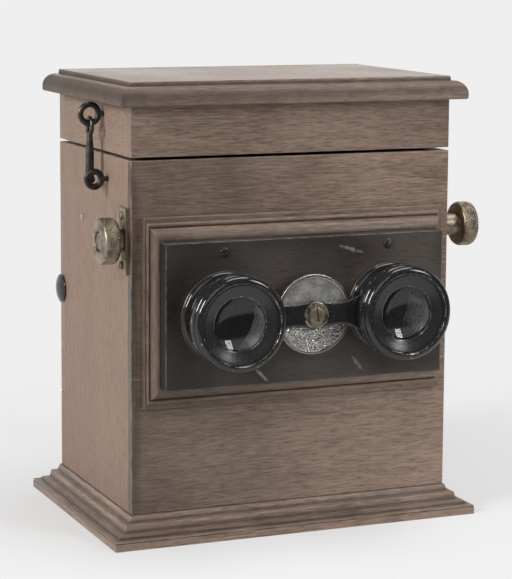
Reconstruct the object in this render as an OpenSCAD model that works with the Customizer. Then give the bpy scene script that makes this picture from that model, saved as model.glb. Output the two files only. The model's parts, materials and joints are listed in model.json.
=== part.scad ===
// Table stereoscope: wooden case with a sliding lens carriage, focusing eyepieces, a hinged lid
// and a ground-glass rear door. Millimetres, +Z up, the viewer stands at -Y.
// The origin is the middle of the underside.

/* [Case] */
// Outside width of the case
case_w = 130; // [127:1:145]
// Outside depth of the case
case_d = 85; // [80:1:100]
// Height of the case above the plinth
case_h = 132; // [129:1:150]
// Thickness of the side boards
side_t = 7; // [6:0.5:8]
// Thickness of the front boards
front_t = 3.6; // [3:0.2:4.2]
// Thickness of the back boards
back_t = 5.5; // [4.5:0.5:7]
// Thickness of the bottom board
bottom_t = 6; // [4:0.5:8]
// Height of the joint between the two front boards above the plinth
joint_h = 51; // [48:0.5:54]

/* [Plinth] */
// Height of the plinth moulding
plinth_h = 11; // [9.5:0.5:14]
// How far the plinth stands out from the case
plinth_over = 9.4; // [8.4:0.2:12]
// Height of the plinth's upright toe
toe_h = 3.4; // [2.6:0.2:4]
// Width of the flat above the toe
toe_w = 2.4; // [1.6:0.2:3]
// Height of the plinth's middle member
member_h = 5.3; // [5:0.1:6]
// Width of the plinth's middle member
member_w = 2.5; // [1.8:0.1:3]

/* [Lid] */
// Gap between the case and the lid
lid_gap = 1.2; // [0.8:0.1:2]
// Height of the lid's skirt boards
skirt_h = 18.8; // [17:0.1:24]
// Thickness of the lid's skirt boards
skirt_t = 6; // [5:0.5:7]
// Thickness of the lid's top board
lid_t = 8.8; // [7.5:0.1:11]
// How far the lid's top board stands out
lid_over = 5.5; // [4.5:0.5:7]
// Height of the square edge round the lid's top
lid_fillet = 1.5; // [1:0.1:2]

/* [Lens carriage] */
// Height of the eyepiece axes above the plinth
lens_h = 74.7; // [73.5:0.1:76]
// Distance of the lens panel's ends from the eyepiece barrels
eye_margin = 5.4; // [4.4:0.1:6.4]
// Distance of the moulded frame from the edges of the case
frame_margin = 4; // [3:0.1:5]
// Outside height of the moulded frame
frame_h = 71.2; // [69:0.2:73]
// Height of the frame's middle above the eyepiece axes
frame_rise = 0.9; // [0:0.1:1.5]
// Width of the frame moulding above and below the panel
moulding_w = 8.4; // [7.6:0.1:9]
// Width of the frame moulding on the left and right of the panel
moulding_side = 4.8; // [4.2:0.1:5.6]
// Height of the frame moulding at its outer edge
moulding_edge = 2.5; // [2:0.1:3]
// Height of the frame moulding where it meets the panel
moulding_t = 7; // [6:0.1:8]
// Thickness of the lens panel
panel_t = 12.5; // [11:0.1:14]
// Distance of the sliding sleeve from the edges of the case
sleeve_margin = 13; // [12:0.5:15]
// Thickness of the sleeve's boards
sleeve_t = 3; // [2:0.5:4]
// Depth of the sleeve behind the lens panel
sleeve_d = 30; // [27:1:31]
// How far the carriage travels out
carriage_travel = 12; // [6:0.5:13]

/* [Focusing gear] */
// Module of the pinion and rack teeth
gear_module = 0.5; // [0.45:0.05:0.55]
// Teeth on each pinion
pinion_teeth = 12; // [11:1:13]
// Diameter of the focusing shaft
shaft_d = 3.6; // [3:0.1:4]
// Height of the focusing shaft above the eyepiece axes
shaft_h = 27.4; // [26:0.1:29]
// How far the shaft and its knobs stand to the right of the middle
shaft_shift = 1.9; // [0:0.1:2.2]
// Distance of each rack from the middle
rack_x = 33.3; // [28:0.1:40]
// Width of each rack
rack_w = 6; // [5:0.5:8]
// Thickness of each rack below its teeth
rack_base = 2; // [1.5:0.1:2.5]
// Height of each rack's foot above the sleeve
foot_h = 4.9; // [4.5:0.1:5.4]
// Thickness of each rack's foot
foot_t = 2; // [1.5:0.1:2.5]
// Width of each bearing plate
plate_w = 9.2; // [8:0.2:12]
// Height of each bearing plate
plate_h = 24.6; // [22:0.1:26]
// Thickness of each bearing plate
plate_t = 1.2; // [0.8:0.1:1.6]
// Diameter of each focusing knob
knob_d = 17.4; // [15:0.2:20]
// Thickness of each focusing knob
knob_t = 6.9; // [6:0.1:7.6]
// Diameter of each knob's flat outer face
knob_face_d = 13.4; // [11:0.2:14]
// Diameter of each knob's hub
hub_d = 8.5; // [7:0.1:10]
// Mean reach of the knobs from the sides of the case
knob_reach = 12.2; // [12:0.1:16]

/* [Eyepieces] */
// Diameter of the eyepiece barrels at their rolled foot
barrel_d = 34.6; // [33.6:0.1:35]
// Diameter of the eyepiece barrels between the foot and the bead
neck_d = 31.4; // [31.2:0.1:32.4]
// Diameter of the beaded rim
rim_d = 36; // [35.4:0.1:37]
// Diameter of the sliding draw tubes
tube_d = 30; // [28:0.1:31]
// Diameter of the opening in front of each lens
aperture_d = 19.9; // [18:0.1:22]
// Diameter of each lens
lens_d = 24; // [23:0.1:25]
// Bulge of each lens face
lens_sag = 1.4; // [0.8:0.1:1.8]
// Thickness of each lens at its edge
lens_edge = 1.6; // [1.2:0.1:2.2]
// Reach of the fixed mounts from the lens panel
mount_reach = 2; // [1.8:0.1:3]
// Reach of the eyepieces from the lens panel
eye_reach = 18.5; // [17.5:0.1:21]

/* [Bridge and wheel] */
// Distance of the focusing wheel's rim from the eyepiece barrels
wheel_gap = 1; // [0.5:0.1:2]
// Thickness of the focusing wheel
wheel_t = 2.2; // [1.6:0.1:2.3]
// Distance of the wheel's back from the lens panel
wheel_off = 4.3; // [3:0.1:4.4]
// Height of the bridge bar
bar_h = 8; // [6:0.2:9]
// Thickness of the bridge bar
bar_t = 1.6; // [1.4:0.1:3]
// Distance of the bridge's back from the lens panel
bar_off = 6.9; // [6.8:0.1:7.6]
// Diameter of the boss in the middle of the bridge
boss_d = 10; // [8:0.2:12]
// Diameter of the bridge spindle
spindle_d = 4; // [3:0.1:5]

/* [Hook and eyes] */
// Radius of the lid eye's ring at its wire centre
lid_eye_r = 3.7; // [3.3:0.1:3.8]
// Wire diameter of the lid eye
lid_eye_wire = 2; // [1.6:0.1:2]
// Height of the lid eye above the lid's lower edge
lid_eye_h = 13.9; // [12:0.1:14]
// Distance of the hook in front of the middle
hook_y = 11.6; // [5:0.1:15]
// Height of the case eye above the plinth
case_eye_h = 123; // [117:0.1:124]
// Radius of the case eye's ring at its wire centre
case_eye_r = 3.2; // [2.6:0.1:3.3]
// Wire diameter of the case eye
case_eye_wire = 1.8; // [1.4:0.1:2]
// Diameter of the hook's shank
hook_d = 2.8; // [2:0.1:3]

/* [Slide gate] */
// Distance of the gate's front face behind the middle
gate_y = 12.8; // [10:0.2:15]
// Thickness of the gate
gate_t = 3; // [2:0.2:4]
// Depth of the slot that holds the slide
slot_d = 4.6; // [4.4:0.1:5]
// Thickness of the guides beside the slide
guide_t = 3; // [2.8:0.1:4]
// Height of a slide
slide_h = 45; // [43:0.5:47]
// Width of the gate's frame outside each aperture
gate_rim = 6.5; // [5.5:0.5:8]
// Distance of the gate's upper edge below the top of the case
gate_drop = 18; // [14:0.5:20]

/* [Rear door] */
// Distance of the door's upper edge below the top of the case
door_drop = 17.1; // [16:0.1:19]
// Height of the door
door_h = 84.4; // [78:0.2:92]
// Thickness of the door
door_t = 5; // [4.6:0.1:6]
// How far the door stands out behind the case
door_proud = 0.8; // [0.4:0.1:1.2]
// Width of the ground glass
glass_w = 104; // [98:0.5:108]
// Height of the ground glass
glass_h = 50; // [46:0.5:54]
// Thickness of the ground glass
glass_t = 1.6; // [1.2:0.1:2]
// Width of the ledge that carries the glass
ledge_w = 2.5; // [2:0.1:3]
// Diameter of the pull button
button_d = 11.4; // [9:0.2:13]
// Height of the pull button's dome
button_t = 1.5; // [1:0.1:2]

/* [Hinges] */
// Length of each hinge
hinge_l = 18; // [15:0.5:22]
// Width of each hinge leaf from the pin
leaf_w = 9; // [8:0.2:9.4]
// Thickness of each hinge leaf
leaf_t = 0.8; // [0.6:0.05:1]
// Radius of the hinge knuckles
knuckle_r = 1.4; // [1.3:0.05:1.6]
// Diameter of the hinge pins
pin_d = 1.4; // [1.2:0.05:1.5]
// Distance of the lid hinges from the middle
lid_hinge_x = 38; // [30:1:44]
// Distance of the door hinges from the door's mid height
door_hinge_z = 28; // [22:1:30]

/* [Hidden] */
$fn = 64;

// Clearances: driven fits, running fits, sliding faces and faces that pass each other
fit_clear = 0.02;
run_clear = 0.05;
slide_clear = 0.25;
pass_clear = 0.3;
// Overlap that makes a cut run past a face
cut = 1;

// Case planes
half_w = case_w / 2;
half_d = case_d / 2;
front_in = -half_d + front_t;
back_in = half_d - back_t;
inner_x = half_w - side_t;
case_top = plinth_h + case_h;
joint_z = plinth_h + joint_h;
lens_z = plinth_h + lens_h;

// Lid planes
lid_base = case_top + lid_gap;
skirt_top = lid_base + skirt_h;

// Carriage planes: the frame stands just off the case front
panel_back = -half_d - pass_clear;
panel_face = panel_back - panel_t;
frame_w = case_w - 2 * frame_margin;
frame_z = lens_z + frame_rise;
panel_w = frame_w - 2 * moulding_side;
panel_h = frame_h - 2 * moulding_w;
lens_sep = panel_w - barrel_d - 2 * eye_margin;
lens_x = lens_sep / 2;
sleeve_w = case_w - 2 * sleeve_margin;
runner_h = 5;
runner_lap = 3;

// Gear train: the pinions run just behind the front boards, on racks along the sleeve's top
pressure = 20;
pitch_r = gear_module * pinion_teeth / 2;
tip_r = pitch_r + gear_module;
root_r = pitch_r - 1.25 * gear_module;
tooth_pitch = PI * gear_module;
backlash = 0.1;
rack_addendum = 0.65 * gear_module;
rack_dedendum = 1.25 * gear_module;
shaft_y = front_in + tip_r + pass_clear;
shaft_z = lens_z + shaft_h;
rack_line = shaft_z - pitch_r;
sleeve_top = rack_line - rack_dedendum - rack_base;
sleeve_low = joint_z + slide_clear;
foot_top = sleeve_top + foot_h;
rack_end = shaft_y + carriage_travel + 2 * tooth_pitch;

// Screw sizes: head diameter, head height, shank diameter, shank length
panel_screw = [3.6, 0.6, 1.6, panel_t + foot_t];
plate_screw = [3, 0.7, 1.4, plate_t + side_t - 2];
knob_screw = [6.6, 1, 2, 6];
bridge_screw_size = [6.4, 1, 2, 5];
leaf_screw = [2.6, leaf_t, 1.3, 3.6];
panel_screw_z = foot_top - panel_screw[0] / 2 - 0.8;
slot_w = 0.6;

// Eyepiece planes, measured out from the lens panel
barrel_r = barrel_d / 2;
barrel_back = mount_reach + pass_clear;
tube_back = -panel_t + 1.6;
spigot_r = tube_d / 2 + 1;
neck_r = neck_d / 2;
rim_r = rim_d / 2;
bead_r = 1.6;
bead_half = 2.6;
groove = 0.4;
ring_edge = rim_r - 0.3;
ring_round = 2.1;
ring_t = 2.9;
ring_back = eye_reach - ring_t;
bead_mid = ring_back - groove - bead_half;
dish_r = ring_edge - ring_round - 0.7;
dish_t = 1.9;
lip_back = eye_reach - 3.6;
seat_l = 8.6;
lens_r = lens_d / 2;
seat_r = lens_r + run_clear;
lens_ball = (lens_r * lens_r + lens_sag * lens_sag) / (2 * lens_sag);
lens_front = lip_back - lens_rise(aperture_d / 2) - fit_clear;
lens_ring_w = 1.4;
lens_ring_t = 2;
boss_lip = 0.3;
boss_front = bar_off + bar_t + boss_lip;
flare_gap = 3;
flare_h = 3.2;
bar_lap = 2.4;
wheel_d = lens_sep - barrel_d - 2 * wheel_gap;
spindle_tail = 10;

// Knob planes, measured out from the side of the case
hub_start = plate_t + pass_clear;
recess_d = knob_screw[0] + 0.8;
recess_t = 1.2;

// Hook and eyes: the hook hangs on the lid eye with its tip behind the case eye, far enough away
// for the tip to pass the eye as the lid opens
loop_wire = 1.7;
loop_r = 2.9;
eye_shank_d = 2;
eye_depth = 4;
hook_x = half_w + lid_eye_r + lid_eye_wire / 2 + 0.8;
lid_eye_z = lid_base + lid_eye_h;
pivot_z = lid_eye_z - lid_eye_r;
loop_z = pivot_z + (lid_eye_wire + loop_wire) / 2 + pass_clear - loop_r;
hook_bend = 2;
hook_tip = 0.8;
tip_clear = 1.4;
case_eye_z = plinth_h + case_eye_h;
case_eye_y = -hook_y - hook_bend - hook_tip - tip_clear - case_eye_wire / 2;
tip_z = case_eye_z - 0.5;

// Slide gate planes
slot_front = gate_y + gate_t;
slot_back = slot_front + slot_d;
guide_lip = 2;
guide_lap = 4;
slide_low = lens_z - slide_h / 2;
slide_w = 2 * (inner_x - guide_t);
gate_top = case_top - gate_drop;
rest_t = 3;
gate_hole_x = lens_x - 2;
gate_hole = 2 * (inner_x - gate_rim - gate_hole_x);
nail_d = 1.4;
nail_head_d = 2.6;
nail_z = gate_top - 9.2;

// Door planes
door_z = case_top - door_drop - door_h;
door_mid = door_z + door_h / 2;
door_back = half_d + door_proud;
door_in = door_back - door_t;
bead_w = 2.4;
bead_t = 1.6;
button_stem_d = 2.4;
button_stem = 6;
// Extra width of the hinge leaves on the side board, past the door's edge
side_leaf = door_t + slide_clear;

// Points on an arc round [cx, cy] from angle a to angle b
function arc(cx, cy, r, a, b, n = 6) =
  [for (i = [0:n]) [cx + r * cos(a + (b - a) * i / n), cy + r * sin(a + (b - a) * i / n)]];

// Points of an oval about c from angle a to angle b
function oval(c, rx, ry, a, b, n) =
  [for (i = [0:n]) [c[0] + rx * cos(a + (b - a) * i / n), c[1] + ry * sin(a + (b - a) * i / n)]];

// Height of a lens face above its edge at radius r
function lens_rise(r) =
  sqrt(lens_ball * lens_ball - r * r) - sqrt(lens_ball * lens_ball - lens_r * lens_r);

// Box between two opposite corners
module block(low, high) {
  translate(low) cube(high - low);
}

// The same shape on the right and mirrored on the left
module both_sides() {
  children();
  mirror([1, 0, 0]) children();
}

// Ring of wire round the Z axis
module wire_ring(r, wire, turn = 360) {
  rotate_extrude(angle = turn) translate([r, 0]) circle(d = wire);
}

// Turned shape on an eyepiece axis: the profile is radius and distance out of the lens panel
module turned(x, profile) {
  translate([x, panel_face, lens_z]) rotate([90, 0, 0]) rotate_extrude() polygon(profile);
}

// Straight bore along an eyepiece axis
module lens_bore(x, d, from, to) {
  translate([x, panel_face - from, lens_z]) rotate([90, 0, 0]) cylinder(h = to - from, d = d);
}

// Screw with its head above Z = 0 and its shank below; grow makes the hole for it
module screw(size, grow = 0, slotted = true) {
  difference() {
    union() {
      cylinder(h = size[1] + grow, d = size[0] + 2 * grow);
      translate([0, 0, -size[3] - grow]) cylinder(h = size[3] + 2 * grow, d = size[2] + 2 * grow);
    }
    if (slotted && grow == 0)
      translate([-size[0], -slot_w / 2, size[1] / 2]) cube([2 * size[0], slot_w, size[1]]);
  }
}

// One mitred length of moulding: X along it, Y inward from its outer edge, Z its height
module mitred_rail(length, width, inset, profile, glue) {
  tall = 100;
  half = length / 2 - glue;
  intersection() {
    rotate([90, 0, 90]) linear_extrude(height = length, center = true) polygon(profile);
    linear_extrude(height = tall, center = true)
      polygon([[-half, 0], [half, 0], [half - inset, width], [inset - half, width]]);
  }
}

// Four mitred lengths round a rectangle, with a glue line in each corner; the lengths along h
// have the same section drawn in to the width called side
module mitred_frame(w, h, width, side, profile) {
  side_profile = [for (p = profile) [p[0] * side / width, p[1]]];
  for (turn = [0, 180]) {
    rotate(turn) translate([0, -h / 2, 0]) mitred_rail(w, width, side, profile, fit_clear);
    rotate(turn + 90) translate([0, -w / 2, 0]) mitred_rail(h, side, width, side_profile, fit_clear);
  }
}

// Section across a board from the section of its left edge
function both_edges(width, edge) =
  concat([for (p = edge) [p[0] - width / 2, p[1]]],
    [for (i = [len(edge) - 1:-1:0]) [width / 2 - edge[i][0], edge[i][1]]]);

// Board with the same edge section on all four sides
module edged_board(w, d, edge) {
  intersection() {
    rotate([90, 0, 90]) linear_extrude(height = w, center = true) polygon(both_edges(d, edge));
    rotate([90, 0, 0]) linear_extrude(height = d, center = true) polygon(both_edges(w, edge));
  }
}

// Plinth section: an upright toe, a middle member and a cove up to the case
function plinth_profile() =
  let (edge = 0.7, step = 0.6, cove_w = plinth_over - toe_w - step - member_w, cove_h = plinth_h - member_h)
  concat([[plinth_over, 0], [0, 0]],
    arc(edge, toe_h - edge, edge, 180, 90, 4),
    [[toe_w, toe_h + 0.4], [toe_w + step, member_h - 0.5], [toe_w + step + member_w, member_h]],
    [[plinth_over - cove_w * 0.72, member_h + cove_h * 0.46],
     [plinth_over - cove_w * 0.36, member_h + cove_h * 0.55],
     [plinth_over - cove_w * 0.16, plinth_h - 0.3], [plinth_over, plinth_h]]);

// Lid edge section from the bottom up: an ovolo under a square edge
function lid_profile() =
  let (round_r = lid_over - 0.9, low = 1.3)
  concat([[0.5, 0], [0, 0.5], [0, low]],
    arc(round_r, low, round_r, 180, 90, 7),
    [[lid_over - 0.2, lid_t - lid_fillet], [lid_over - 0.2, lid_t - 0.2], [lid_over, lid_t]]);

// Frame moulding section: a flat outer edge, a small step and a round crown that climbs to the panel
function frame_profile() =
  let (step = 0.8, flat = moulding_w * 0.46, crown_w = moulding_w - flat,
    rise = moulding_t - moulding_edge - step)
  concat([[moulding_w, 0], [0, 0], [0, moulding_edge], [flat, moulding_edge + 0.2],
    [flat, moulding_edge + step]],
    [for (i = [1:6]) [flat + crown_w * (1 - cos(i * 15)), moulding_edge + step + rise * sin(i * 15)]]);

// Rack section along Y and Z, with a tooth under the shaft
function rack_profile() =
  let (first = -2, last = floor((rack_end - shaft_y) / tooth_pitch) - 1, slope = tan(pressure),
    root_z = rack_line - rack_dedendum, crest_z = rack_line + rack_addendum,
    half = (tooth_pitch - backlash) / 4)
  concat([[rack_end, sleeve_top], [panel_back, sleeve_top], [panel_back, foot_top],
    [panel_back + foot_t, foot_top], [panel_back + foot_t, root_z]],
    [for (k = [first:last], p = [[-1, 0], [-1, 1], [1, 1], [1, 0]])
      let (reach = half + (p[1] == 0 ? rack_dedendum : -rack_addendum) * slope)
      [shaft_y + k * tooth_pitch + p[0] * reach, p[1] == 0 ? root_z : crest_z]],
    [[rack_end, root_z]]);

// Pinion section: involute teeth with a gap facing down
function involute(a) = tan(a) * 180 / PI - a;
function pinion_profile() =
  let (base_r = pitch_r * cos(pressure), steps = 4, tooth = 360 / pinion_teeth,
    half = tooth / 4 - backlash / 4 / pitch_r * 180 / PI + involute(pressure),
    radii = [for (i = [0:steps]) base_r + (tip_r - base_r) * i / steps],
    flank = concat([[root_r, half]], [for (r = radii) [r, half - involute(acos(min(1, base_r / r)))]]))
  [for (t = [0:pinion_teeth - 1], side = [-1, 1], i = [0:len(flank) - 1])
    let (p = flank[side < 0 ? i : len(flank) - 1 - i], a = -90 + tooth * (t + 0.5) + side * p[1])
    [p[0] * cos(a), p[0] * sin(a)]];

// Hinge leaf round an upright pin: plate towards -X, lying on the surface at Y = -knuckle_r;
// extra makes the plate wider and moves its screws out
module hinge_leaf(outer, extra = 0) {
  third = hinge_l / 3;
  play = 0.15;
  starts = outer ? [-hinge_l / 2, hinge_l / 2 - third] : [-third / 2 + play];
  tall = outer ? third : third - 2 * play;
  neck = knuckle_r + pass_clear;
  difference() {
    union() {
      block([-leaf_w - extra, -knuckle_r, -hinge_l / 2], [-neck, leaf_t - knuckle_r, hinge_l / 2]);
      for (z = starts) {
        block([-neck, -knuckle_r, z], [0, leaf_t - knuckle_r, z + tall]);
        translate([0, 0, z]) cylinder(h = tall, r = knuckle_r);
      }
    }
    translate([0, 0, -hinge_l]) cylinder(h = 2 * hinge_l, d = pin_d + 2 * run_clear);
    leaf_screws(fit_clear, extra);
  }
}

// The two screws of one hinge leaf, or the holes for them
module leaf_screws(grow = 0, extra = 0) {
  for (z = [-hinge_l / 4, hinge_l / 4])
    translate([-leaf_w * 0.6 - extra, -knuckle_r, z]) rotate([-90, 0, 0]) screw(leaf_screw, grow);
}

// Places of the lid hinges: leaves on the case hang down, leaves on the lid stand up
module at_lid_hinges(up) {
  for (x = [-lid_hinge_x, lid_hinge_x])
    translate([x, half_d + knuckle_r, case_top + lid_gap / 2]) rotate([0, up ? 90 : -90, 0]) children();
}

// Places of the door hinges, for leaves that lie on the door
module at_door_hinges() {
  for (z = [-door_hinge_z, door_hinge_z])
    translate([half_w + knuckle_r, door_back + knuckle_r, door_mid + z]) children();
}

// Places of the door hinges, for leaves that lie on the right side board
module at_door_hinges_on_case() {
  at_door_hinges() mirror([1, -1, 0]) children();
}

// Places of the bearing plate screws on the right side, heads outward
module at_plate_screws() {
  for (z = [-1, 1])
    translate([half_w + plate_t, shaft_y, shaft_z + z * (plate_h / 2 - 3)]) rotate([0, 90, 0]) children();
}

// Places of the panel screws, heads towards the viewer
module at_panel_screws() {
  for (x = [-rack_x, rack_x]) translate([x, panel_face, panel_screw_z]) rotate([90, 0, 0]) children();
}

// Nail that holds the gate, on the right side, or the hole for it
module nail(grow = 0) {
  translate([half_w, gate_y + gate_t / 2, nail_z]) rotate([0, 90, 0])
    screw([nail_head_d, 0.4, nail_d, side_t + 4], grow, false);
}

module plinth_mouldings() {
  color("saddlebrown")
    mitred_frame(case_w + 2 * plinth_over, case_d + 2 * plinth_over, plinth_over, plinth_over,
      plinth_profile());
}

module bottom_board() {
  color("peru") block([-inner_x, front_in, 0], [inner_x, back_in, bottom_t]);
}

// Side board on the right: cut back for the door, with holes for the shaft and the fastenings
module side_board() {
  difference() {
    block([inner_x, front_in, 0], [half_w, half_d, case_top]);
    block([inner_x - cut, door_in - slide_clear, door_z - slide_clear],
      [half_w + cut, half_d + cut, door_z + door_h + slide_clear]);
    translate([0, shaft_y, shaft_z]) rotate([0, 90, 0]) cylinder(h = case_w, d = shaft_d + 1.4);
    at_plate_screws() screw(plate_screw, fit_clear);
    nail(fit_clear);
  }
}

module left_side() {
  color("saddlebrown") difference() {
    mirror([1, 0, 0]) side_board();
    eye_shank(case_eye_y, case_eye_z, case_eye_r, fit_clear);
  }
}

module right_side() {
  color("saddlebrown") difference() {
    side_board();
    at_door_hinges_on_case() leaf_screws(fit_clear, side_leaf);
  }
}

module front_lower_board() {
  color("sienna") block([-half_w, -half_d, 0], [half_w, front_in, joint_z]);
}

module front_upper_board() {
  hole_x = sleeve_w / 2 + slide_clear;
  color("sienna") difference() {
    block([-half_w, -half_d, joint_z], [half_w, front_in, case_top]);
    block([-hole_x, -half_d - cut, joint_z - cut], [hole_x, front_in + cut, foot_top + slide_clear]);
  }
}

module back_lower_board() {
  color("sienna") block([-inner_x, back_in, 0], [inner_x, half_d, door_z - slide_clear]);
}

module back_upper_board() {
  color("sienna") difference() {
    block([-inner_x, back_in, door_z + door_h + slide_clear], [inner_x, half_d, case_top]);
    at_lid_hinges(false) leaf_screws(fit_clear);
  }
}

module septum() {
  color("dimgray")
    block([-1, panel_back + sleeve_d + 2, bottom_t], [1, gate_y, gate_top]);
}

module slide_gate() {
  color("dimgray") difference() {
    block([-inner_x, gate_y, bottom_t], [inner_x, slot_front, gate_top]);
    for (x = [-gate_hole_x, gate_hole_x])
      translate([x - gate_hole / 2, gate_y - cut, lens_z - gate_hole / 2])
        cube([gate_hole, gate_t + 2 * cut, gate_hole]);
    both_sides() nail(fit_clear);
  }
}

module slide_guides() {
  color("dimgray") both_sides() translate([0, 0, slide_low - rest_t])
    linear_extrude(height = gate_top - slide_low + rest_t)
      polygon([[inner_x, slot_front], [slide_w / 2, slot_front], [slide_w / 2, slot_back],
        [slide_w / 2 - guide_lap, slot_back], [slide_w / 2 - guide_lap, slot_back + guide_lip],
        [inner_x, slot_back + guide_lip]]);
}

module slide_rest() {
  color("dimgray")
    block([-slide_w / 2, slot_front, slide_low - rest_t], [slide_w / 2, slot_back, slide_low]);
}

module carriage_runners() {
  color("peru") both_sides()
    block([sleeve_w / 2 - runner_lap, front_in, joint_z - runner_h],
      [inner_x, panel_back + sleeve_d, joint_z]);
}

module bearing_plates() {
  color("darkgoldenrod") both_sides() difference() {
    block([half_w, shaft_y - plate_w / 2, shaft_z - plate_h / 2],
      [half_w + plate_t, shaft_y + plate_w / 2, shaft_z + plate_h / 2]);
    translate([0, shaft_y, shaft_z]) rotate([0, 90, 0]) cylinder(h = case_w, d = shaft_d + 2 * run_clear);
    at_plate_screws() screw(plate_screw, fit_clear);
  }
}

module plate_screws() {
  color("darkgoldenrod") both_sides() at_plate_screws() screw(plate_screw);
}

module lid_hinge_case_leaves() {
  color("goldenrod") at_lid_hinges(false) hinge_leaf(true);
}

module door_hinge_case_leaves() {
  color("goldenrod") at_door_hinges_on_case() hinge_leaf(true, side_leaf);
}

module hinge_pin() {
  cylinder(h = hinge_l + 0.6, d = pin_d, center = true);
}

module hinge_pins() {
  color("goldenrod") {
    at_lid_hinges(false) hinge_pin();
    at_door_hinges() hinge_pin();
  }
}

module case_hinge_screws() {
  color("goldenrod") {
    at_lid_hinges(false) leaf_screws();
    at_door_hinges_on_case() leaf_screws(0, side_leaf);
  }
}

// Shank of a screw eye on the left side, or the hole for it
module eye_shank(y, z, r, grow = 0) {
  deep = hook_x - r - half_w + eye_depth;
  translate([-hook_x + r - grow, y, z]) rotate([0, 90, 0])
    cylinder(h = deep + 2 * grow, d = eye_shank_d + 2 * grow);
}

module case_eye() {
  color("dimgray") {
    translate([-hook_x, case_eye_y, case_eye_z]) rotate([90, 0, 0]) wire_ring(case_eye_r, case_eye_wire);
    eye_shank(case_eye_y, case_eye_z, case_eye_r);
  }
}

module gate_pins() {
  color("silver") both_sides() nail();
}

module lid_top() {
  color("sienna") translate([0, 0, skirt_top])
    edged_board(case_w + 2 * lid_over, case_d + 2 * lid_over, lid_profile());
}

module lid_front() {
  color("sienna") block([-half_w, -half_d, lid_base], [half_w, -half_d + skirt_t, skirt_top]);
}

module lid_back() {
  color("sienna") difference() {
    block([-half_w, half_d - skirt_t, lid_base], [half_w, half_d, skirt_top]);
    at_lid_hinges(true) leaf_screws(fit_clear);
  }
}

module lid_side() {
  block([half_w - skirt_t, -half_d + skirt_t, lid_base], [half_w, half_d - skirt_t, skirt_top]);
}

module lid_left() {
  color("saddlebrown") difference() {
    mirror([1, 0, 0]) lid_side();
    eye_shank(-hook_y, lid_eye_z, lid_eye_r, fit_clear);
  }
}

module lid_right() {
  color("saddlebrown") lid_side();
}

module lid_hinge_lid_leaves() {
  color("goldenrod") at_lid_hinges(true) hinge_leaf(false);
}

module lid_hinge_screws() {
  color("goldenrod") at_lid_hinges(true) leaf_screws();
}

module lid_eye() {
  color("dimgray") {
    translate([-hook_x, -hook_y, lid_eye_z]) rotate([90, 0, 0]) wire_ring(lid_eye_r, lid_eye_wire);
    eye_shank(-hook_y, lid_eye_z, lid_eye_r);
  }
}

// Hook: a closed loop on the lid eye, a shank, and a bend to a tip that points to the front
module hook() {
  color("dimgray") translate([-hook_x, -hook_y, 0]) mirror([0, 1, 0]) {
    translate([0, 0, loop_z]) rotate([0, 90, 0]) wire_ring(loop_r, loop_wire);
    translate([0, 0, tip_z + hook_bend]) cylinder(h = loop_z - loop_r - tip_z - hook_bend, d = hook_d);
    translate([0, hook_bend, tip_z + hook_bend]) rotate([0, 90, 0]) rotate(-90)
      wire_ring(hook_bend, hook_d, 90);
    translate([0, hook_bend, tip_z]) rotate([-90, 0, 0])
      cylinder(h = hook_tip, d1 = hook_d, d2 = hook_d - 0.6);
  }
}

module frame_mouldings() {
  color("saddlebrown") translate([0, panel_back, frame_z]) rotate([90, 0, 0])
    mitred_frame(frame_w, frame_h, moulding_w, moulding_side, frame_profile());
}

module lens_panel() {
  color("#2a1c14") difference() {
    block([-panel_w / 2, panel_face, frame_z - panel_h / 2],
      [panel_w / 2, panel_back, frame_z + panel_h / 2]);
    for (x = [-lens_x, lens_x]) lens_bore(x, 2 * (spigot_r + fit_clear), -panel_t - cut, cut);
    lens_bore(0, spindle_d + 4 * run_clear, -panel_t - cut, cut);
    at_panel_screws() screw(panel_screw, fit_clear);
  }
}

module panel_screws() {
  color("gray") at_panel_screws() screw(panel_screw);
}

module carriage_sleeve() {
  outer = sleeve_w / 2;
  inner = outer - sleeve_t;
  color("#3a2a1c") difference() {
    block([-outer, panel_back, sleeve_low], [outer, panel_back + sleeve_d, sleeve_top]);
    block([-inner, panel_back - cut, sleeve_low + sleeve_t],
      [inner, panel_back + sleeve_d + cut, sleeve_top - sleeve_t]);
  }
}

module racks() {
  color("goldenrod") difference() {
    for (x = [-rack_x, rack_x])
      translate([x - rack_w / 2, 0, 0]) rotate([90, 0, 90]) linear_extrude(height = rack_w)
        polygon(rack_profile());
    at_panel_screws() screw(panel_screw, fit_clear);
  }
}

function mount_profile() =
  let (bore = tube_d / 2 + run_clear, neck = barrel_r - 0.6, roll = 0.7)
  concat([[bore, -panel_t], [spigot_r, -panel_t], [spigot_r, 0], [neck, 0], [neck, mount_reach - 2 * roll]],
    arc(barrel_r - roll, mount_reach - roll, roll, -90, 90, 6),
    [[bore, mount_reach]]);

module eyepiece_mount_left() {
  color("#1c1a18") turned(-lens_x, mount_profile());
}

module eyepiece_mount_right() {
  color("#1c1a18") turned(lens_x, mount_profile());
}

module wheel_post() {
  bore = spindle_d / 2 + 2 * run_clear;
  front = wheel_off - 2 * run_clear;
  color("darkgoldenrod") turned(0, [[bore, 0], [7, 0], [7, 1], [5, 1], [5, front], [bore, front]]);
}

module focus_shaft() {
  shaft_end = half_w + knob_reach - recess_t;
  color("silver") translate([shaft_shift, shaft_y, shaft_z]) rotate([0, 90, 0]) difference() {
    cylinder(h = 2 * shaft_end, d = shaft_d, center = true);
    for (side = [0, 180]) rotate([side, 0, 0]) translate([0, 0, shaft_end]) screw(knob_screw, fit_clear);
  }
}

module pinions() {
  pinion_w = rack_w - 1;
  color("goldenrod") both_sides() translate([rack_x, shaft_y, shaft_z]) rotate([90, 0, 90]) difference() {
    linear_extrude(height = pinion_w, center = true) polygon(pinion_profile());
    cylinder(h = 2 * pinion_w, d = shaft_d + 2 * fit_clear, center = true);
  }
}

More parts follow.
